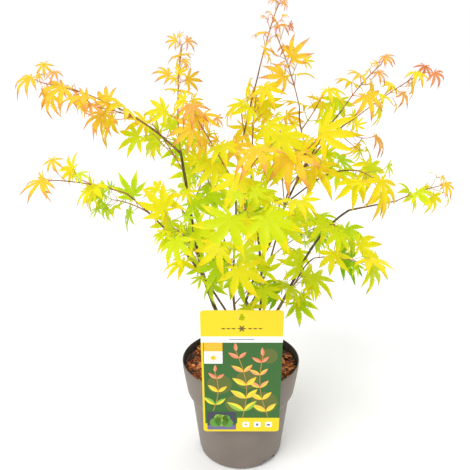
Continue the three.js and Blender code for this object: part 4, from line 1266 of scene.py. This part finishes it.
class MAPLE_OT_trunk_and_limbs(bpy.types.Operator):
    """Grows the trunk, stems and boughs with swollen nodes and bark relief"""

    bl_idname = "maple.trunk_and_limbs"
    bl_label = "Trunk and limbs"

    def relief(self, wood, line, number):
        """The radius's share at each point: ridges along the limb, and a ring at each node."""
        distance = wood.node / MM

        def share_at(shares, turns):
            along = shares * line.length
            nearest = (along + distance / 3) % distance
            knuckle = KNUCKLE_RISE * np.exp(-((nearest - distance / 2) / KNUCKLE_LENGTH) ** 2)
            places = zip(np.cos(turns) * RIDGE_TURN + number, np.sin(turns) * RIDGE_TURN,
                         along / RIDGE_LENGTH)
            bumps = np.array([noise.noise(Vector(place)) for place in places])
            return 1 + knuckle + wood.relief * bumps

        return share_at

    def execute(self, context):
        wood = settings().wood
        pile = Pile()
        for number, (line, radius_at) in enumerate(plant().limbs.values()):
            shape = rod_shape(LIMB_SIDES, max(LEAST_RINGS, round(line.length * MM / wood.ring)))
            bark = int(radius_at(0) <= THIN_LIMB)
            pile.add_rod(shape, line, radius_at, bark, self.relief(wood, line, number))
        barks = [young_bark("olive_bark", "#2E2208", "#5A4A18", "#857634", 0.35),
                 young_bark("brown_twig_bark", "#3A2410", "#6E4A22", "#9A7438", 0.2)]
        limbs = [name for name in frame["nodes"] if name == "trunk" or name.startswith(("stem_", "bough_"))]
        add_piece("trunk_and_limbs", pile.mesh("trunk_and_limbs"), barks, limbs, ROD_SMOOTH)
        return {"FINISHED"}


# Shoots, twigs, stalks and buds
SHOOT_RING = 5
SHOOT_SIDES = 8
TWIG_SIDES = 6
STALK_SIDES = 5
ROD_STEPS = 4
TWIG_END = 0.7
STALK_SAG = 0.06
STALK_GIRTH = (0.32, 0.006)
STALK_ENDS = (1.35, 0.85)
WARM_STALK = 3.5
BUD_SIZE = (1.1, 2.6)
BUD_LEAST = (0.25, 0.6)
BUD_LEAF = 50
BUD_POINT = 0.5
BUD_FOOT = 0.6


class MAPLE_OT_shoots_and_stalks(bpy.types.Operator):
    """Grows the leafy shoots, twigs, leaf stalks and buds"""

    bl_idname = "maple.shoots_and_stalks"
    bl_label = "Shoots and stalks"

    def execute(self, context):
        grown = plant()
        shoots, stalks, buds = Pile(), Pile(), Pile()
        for line, radius_at in grown.shoots.values():
            shape = rod_shape(SHOOT_SIDES, max(ROD_STEPS, round(line.length / SHOOT_RING)))
            shoots.add_rod(shape, line, radius_at, 0)
        twig_shape = rod_shape(TWIG_SIDES, ROD_STEPS)
        for twig, radius in grown.twigs:
            shoots.add_rod(twig_shape, twig, taper(radius, TWIG_END * radius), 1)
        stalk_shape = rod_shape(STALK_SIDES, ROD_STEPS)
        bm = bmesh.new()
        bmesh.ops.create_icosphere(bm, subdivisions=1, radius=1)
        bud_shape = arrays_of(bm)
        for leaf in grown.leaves:
            sag = UP * -STALK_SAG * leaf.length
            girth = STALK_GIRTH[0] + STALK_GIRTH[1] * leaf.size
            radius_at = taper(*(end * girth for end in STALK_ENDS))
            # leaf_tint carries the painted shade of inner leaves into the stalk's colour too
            warm = int(leaf_tint(leaf) > WARM_STALK)
            stalks.add_rod(stalk_shape, Line(leaf.foot, leaf.joint, sag, sag), radius_at, warm)
            self.add_bud(buds, bud_shape, leaf)
        barks = [young_bark("shoot_bark", "#6A3A1C", "#A2703A", "#C8A050", 0.1),
                 leaf_stalk("twiglet_skin", "#B98A3A")]
        skins = [leaf_stalk("green_stalk", "#A8B820"), leaf_stalk("red_stalk", "#C8683A")]
        scale = leaf_stalk("bud_scale", "#B4402C")
        sprays = [name for name in frame["nodes"] if name.startswith("spray_")]
        for name, pile, materials, slot, nodes in (
            ("leafy_shoots", shoots, barks, "bark", []),
            ("leaf_stalks", stalks, skins, "leaves_lime", sprays),
            ("leaf_buds", buds, [scale], "bark", []),
        ):
            add_piece(name, pile.mesh(name), materials, nodes, ROD_SMOOTH)
        return {"FINISHED"}

    def add_bud(self, buds, shape, leaf):
        """A small pointed bud in the angle between the stalk and the shoot."""
        points, faces = shape
        width, length = (full * leaf.size / BUD_LEAF + least for full, least in zip(BUD_SIZE, BUD_LEAST))
        up = unit(leaf.out + UP)
        side = unit(np.cross(up, leaf.side + 0.01))
        other = np.cross(up, side)
        x, y, z = points.T[:, :, None]
        half = (1 - BUD_POINT * np.clip(z, 0, 1)) * width / 2
        rise = (z + BUD_FOOT) * length / 2
        buds.add(leaf.foot + up * rise + (side * x + other * y) * half, faces, 0)


# Leaves
# The greenest tints serve leaves that are still green and also the painted shade of leaves inside the crown
AUTUMN = [
    ("leaf_green", "#8EC200"), ("leaf_lime", "#BEDC00"), ("leaf_yellow_green", "#D6E400"),
    ("leaf_yellow", "#ECE400"), ("leaf_golden", "#F6E00C"), ("leaf_amber", "#F8D030"),
    ("leaf_peach", "#F4B452"), ("leaf_coral", "#EC9658"), ("leaf_rust", "#DA724C"),
]
# Each lobe has its turn from the middle lobe and the share of its length. SINUS is the
# reach of the cuts between them as such a share, and the last cut has its own turn.
LOBES = ((0, 1.0), (39, 0.93), (78, 0.74), (122, 0.38))
LOBE_COUNT = 2 * len(LOBES) - 1
SINUS = 0.17
LAST_SINUS = (math.radians(156), 0.1)
TEETH = (0.36, 0.47, 0.57, 0.67, 0.77, 0.87)
TOOTH_STEP = 0.03
TOOTH_OUT = 1.12
TOOTH_IN = 0.84
PEAK = 0.46
TIP_POWER = 1.9
LOBE_KINDS = (0.122, 0.112, 0.1)
PALM_END = 0.4
FINGER_END = 0.66
PALM_TEETH = 2
FINGER_TEETH = 6
# Young leaves are the warm ones: they hang, fold and crease the more
YOUNG_FROM = 3
YOUNG_SPAN = 4
YOUNG_HANG = (0.5, 0.8)
YOUNG_FOLD = 0.25
HANG_SPREAD = (0.2, 1.5)
CURL_SPREAD = (-0.1, 0.25)
CURL_FROM = 0.5
BEND_DRAW = 1.2
# Painted shade: leaves near the axis and low in the crown take darker, greener tints, partly the real
# colour of shaded leaves
SHADE_RADIUS = 130
SHADE_TOP = 600
PAINTED_SHADE_TINT = 0.95
TINT_SPREAD = 0.6
SLIM_FROM = 5
SLIM_SIZE = 24
MIDDLE_FROM = 3.6
WARM_TIPS = 0.75
Blade = namedtuple("Blade", "reach turn lobe share off_rib faces zones")


def clamp(value):
    return max(0.0, min(1.0, value))


def leaf_tint(leaf):
    """Where a leaf stands on the autumn ramp, from its spray and its place on the shoot.
    Leaves inside the crown and below its top move down the ramp to darker greens: partly the real greener
    colour of shaded leaves, partly painted shade."""
    foot, tip = leaf.spray.tint
    inside = 1 - math.hypot(leaf.joint[0], leaf.joint[1]) / SHADE_RADIUS
    under = (SHADE_TOP - leaf.joint[2]) / SHADE_RADIUS
    shade = clamp(inside) * clamp(under)
    return foot + (tip - foot) * (leaf.share - FIRST_NODE) / (1 - FIRST_NODE) - PAINTED_SHADE_TINT * shade


class MAPLE_OT_leaves(bpy.types.Operator):
    """Unfolds the toothed palmate leaves in their autumn tints"""

    bl_idname = "maple.leaves"
    bl_label = "Leaves"

    def lobe_width(self, share, broad):
        """Half of a lobe's width at a share of its length: widest near the middle."""
        rise = TIP_POWER * PEAK / (1 - PEAK)
        return broad * (share / PEAK) ** rise * ((1 - share) / (1 - PEAK)) ** TIP_POWER

    def half_lobe(self, bm, turn, length, broad, half, sinus):
        """One toothed half of a lobe, in three faces from the palm to the tip."""
        along = Vector((math.cos(turn), math.sin(turn), 0))
        across = Vector((-math.sin(turn), math.cos(turn), 0)) * half

        def place(share, width):
            return along * share * length + across * width * length

        edge = []
        for tooth in TEETH:
            width = self.lobe_width(tooth, broad)
            edge += [place(tooth, width * TOOTH_OUT), place(tooth + TOOTH_STEP, width * TOOTH_IN)]
        foot, palm, finger, tip = (place(share, 0) for share in (0, PALM_END, FINGER_END, 1))
        parts = (
            [foot, sinus, *edge[:PALM_TEETH], palm],
            [palm, *edge[PALM_TEETH - 1:FINGER_TEETH], finger],
            [finger, *edge[FINGER_TEETH - 1:], tip],
        )
        for zone, outline in enumerate(parts):
            face = bm.faces.new([bm.verts.new(p) for p in (outline if half < 0 else outline[::-1])])
            face.material_index = zone

    def blade_shape(self, broad):
        """A whole blade, flat and one unit long, with its lobes, creases and zones."""
        bm = bmesh.new()
        turns = [math.radians(turn) for turn, _ in LOBES]
        lengths = [length for _, length in LOBES]
        sinuses = [((turns[i] + turns[i + 1]) / 2, SINUS * (lengths[i] + lengths[i + 1]) / 2)
                   for i in range(len(LOBES) - 1)] + [LAST_SINUS]
        for side in (-1, 1):
            for i, (turn, length) in enumerate(zip(turns, lengths)):
                for half, (cut, reach) in ((-side, sinuses[i - 1]), (side, sinuses[i])):
                    if i or half == side:
                        sinus = Vector((math.cos(side * cut), math.sin(side * cut), 0)) * reach
                        self.half_lobe(bm, side * turn, length, broad, half, sinus)
        bmesh.ops.remove_doubles(bm, verts=bm.verts, dist=LOOSE_WELD)
        zones = np.array([f.material_index for f in bm.faces])
        points, faces = arrays_of(bm)
        reach = np.hypot(points[:, 0], points[:, 1])
        turn = np.degrees(np.arctan2(points[:, 1], points[:, 0]))
        centres = np.array([side * middle for middle, _ in LOBES for side in (-1, 1)][1:])
        lobe = np.abs(turn[:, None] - centres).argmin(1)
        share = reach / np.repeat(lengths, 2)[1:][lobe]
        off_rib = np.abs(reach * np.sin(np.radians(turn - centres[lobe])))
        return Blade(reach, turn, lobe, share, off_rib, faces, zones)

    def place_blade(self, blade, leaf, rng, look):
        """A blade's points on the plant, its lobes each turned and hung a little."""
        young = clamp((leaf_tint(leaf) - YOUNG_FROM) / YOUNG_SPAN)
        loose = np.clip((blade.share - SINUS) / (1 - SINUS), 0, 1)
        turns = rng.normal(0, math.degrees(look.lobe_turn), LOBE_COUNT)
        hangs = look.hang * (YOUNG_HANG[0] + YOUNG_HANG[1] * young) * rng.uniform(*HANG_SPREAD, LOBE_COUNT)
        curls = rng.uniform(*CURL_SPREAD, LOBE_COUNT)
        folding = 1 - YOUNG_FOLD * young * rng.random()
        turn = np.radians((blade.turn + turns[blade.lobe] * loose) * folding)
        bend = (BLADE_ARCH + hangs[blade.lobe] * loose) * blade.reach
        plan = blade.reach / np.sqrt(1 + (BEND_DRAW * bend) ** 2)
        curl = curls[blade.lobe] * np.clip(loose - CURL_FROM, 0, 1) ** 2
        height = look.crease * (1 + young) * blade.off_rib - (bend + curl) * blade.reach
        offsets = np.stack([plan * np.cos(turn), plan * np.sin(turn), height], 1) * leaf.size
        return leaf.joint + offsets @ np.stack([leaf.axis, leaf.side, leaf.normal])

    def execute(self, context):
        look = settings().leaf
        rng = np.random.default_rng(29)
        broad, middle, slim = (self.blade_shape(width) for width in LOBE_KINDS)
        pile = Pile()
        last = len(AUTUMN) - 1
        for leaf in plant().leaves:
            # The tint includes the painted shade of leaves inside the crown
            tint = leaf_tint(leaf) + rng.normal(0, TINT_SPREAD)
            blade = middle if tint > MIDDLE_FROM else broad
            if tint > SLIM_FROM or leaf.size < SLIM_SIZE:
                blade = slim
            own = int(np.clip(round(tint), 0, last - 1))
            tips = own + int(rng.random() < WARM_TIPS)
            tints = np.array([own, own, tips])
            pile.add(self.place_blade(blade, leaf, rng, look), blade.faces, tints[blade.zones])
        materials = [leaf_blade(name, code) for name, code in AUTUMN]
        add_piece("leaves", pile.mesh("leaves"), materials, [], 180)
        return {"FINISHED"}


# Stage: the camera stands where the photograph's does
CAMERA_PLACE = (-0.0094, -0.750, 0.5979)
CAMERA_PITCH = math.radians(16.71)
FOCAL_PIXELS = 514.6
PICTURE_PIXELS = 470
SENSOR = 36
FLOOR_HALF = 60
# Each softbox has its place, its strength and how far its light spreads in degrees
SOFTBOXES = {
    "key_softbox": ((-0.6, -0.9, 1.2), 1.8, 36),
    "back_softbox": ((0.5, 0.9, 1.1), 0.7, 60),
}


class MAPLE_OT_studio_stage(bpy.types.Operator):
    """Sets up the pale floor, the soft studio light and the camera"""

    bl_idname = "maple.studio_stage"
    bl_label = "Studio stage"

    def add_floor(self, stage):
        bm = bmesh.new()
        bmesh.ops.create_grid(bm, x_segments=1, y_segments=1, size=FLOOR_HALF)
        floor = add_object("studio_floor", mesh_of(bm, "studio_floor"))
        material, tree, _ = start_material("matt_studio_paper")
        paper = {"Base Color": (*stage.floor, 1), "Roughness": 0.9}
        finish_with(material, add_node(tree, "ShaderNodeBsdfPrincipled", paper))
        floor.data.materials.append(material)

    def add_daylight(self, stage):
        """Even light from all round, in front of a backdrop that is seen as white."""
        world = bpy.data.worlds.new("studio_daylight")
        world.use_nodes = True
        tree = world.node_tree
        seen = add_node(tree, "ShaderNodeLightPath").outputs["Is Camera Ray"]
        sky = tree.nodes["Background"].inputs
        sky["Color"].default_value = (1, 1, 1, 1)
        tree.links.new(range_of(tree, seen, stage.daylight, 1), sky["Strength"])
        bpy.context.scene.world = world

    def add_softbox(self, name, place, strength, spread):
        """Soft light from one side that is as strong all over the floor."""
        light = bpy.data.lights.new(name, "SUN")
        light.energy = strength
        light.angle = math.radians(spread)
        lamp = add_object(name, light)
        lamp.location = place
        lamp.rotation_euler = Vector(place).to_track_quat("Z", "Y").to_euler()

    def add_camera(self):
        lens = bpy.data.cameras.new("photo_camera")
        lens.sensor_width = SENSOR
        lens.lens = FOCAL_PIXELS / PICTURE_PIXELS * SENSOR
        camera = add_object("photo_camera", lens)
        camera.location = CAMERA_PLACE
        camera.rotation_euler = (math.pi / 2 - CAMERA_PITCH, 0, 0)
        bpy.context.scene.camera = camera

    def execute(self, context):
        stage = settings().stage
        self.add_floor(stage)
        self.add_daylight(stage)
        bpy.context.scene.view_settings.view_transform = "Standard"
        for name, softbox in SOFTBOXES.items():
            self.add_softbox(name, *softbox)
        self.add_camera()
        return {"FINISHED"}


OPERATORS = (
    MAPLE_OT_studio_stage,
    MAPLE_OT_nursery_pot,
    MAPLE_OT_potting_mix,
    MAPLE_OT_plant_card,
    MAPLE_OT_trunk_and_limbs,
    MAPLE_OT_shoots_and_stalks,
    MAPLE_OT_leaves,
)


class MAPLE_PT_sidebar(bpy.types.Panel):
    """Lists the pieces and their sizes and colours"""

    bl_idname = "MAPLE_PT_sidebar"
    bl_label = "Potted maple"
    bl_space_type = "VIEW_3D"
    bl_region_type = "UI"
    bl_category = "Maple"

    def draw(self, context):
        maple = context.scene.maple
        for group in ("pot", "mix", "card", "wood", "leaf", "stage"):
            part = getattr(maple, group)
            box = self.layout.box()
            box.label(text=group.capitalize())
            for name in part.__annotations__:
                box.prop(part, name)
        for operator in OPERATORS:
            self.layout.operator(operator.bl_idname)


CLASSES = (PotSettings, MixSettings, CardSettings, WoodSettings, LeafSettings, StageSettings,
           MapleSettings, *OPERATORS, MAPLE_PT_sidebar)


def register():
    for made in CLASSES:
        bpy.utils.register_class(made)
    bpy.types.Scene.maple = PointerProperty(type=MapleSettings)


def unregister():
    del bpy.types.Scene.maple
    for made in reversed(CLASSES):
        bpy.utils.unregister_class(made)


def main():
    register()
    bpy.ops.maple.studio_stage()
    bpy.ops.maple.nursery_pot()
    bpy.ops.maple.potting_mix()
    bpy.ops.maple.plant_card()
    bpy.ops.maple.trunk_and_limbs()
    bpy.ops.maple.shoots_and_stalks()
    bpy.ops.maple.leaves()


if __name__ == "__main__":
    main()
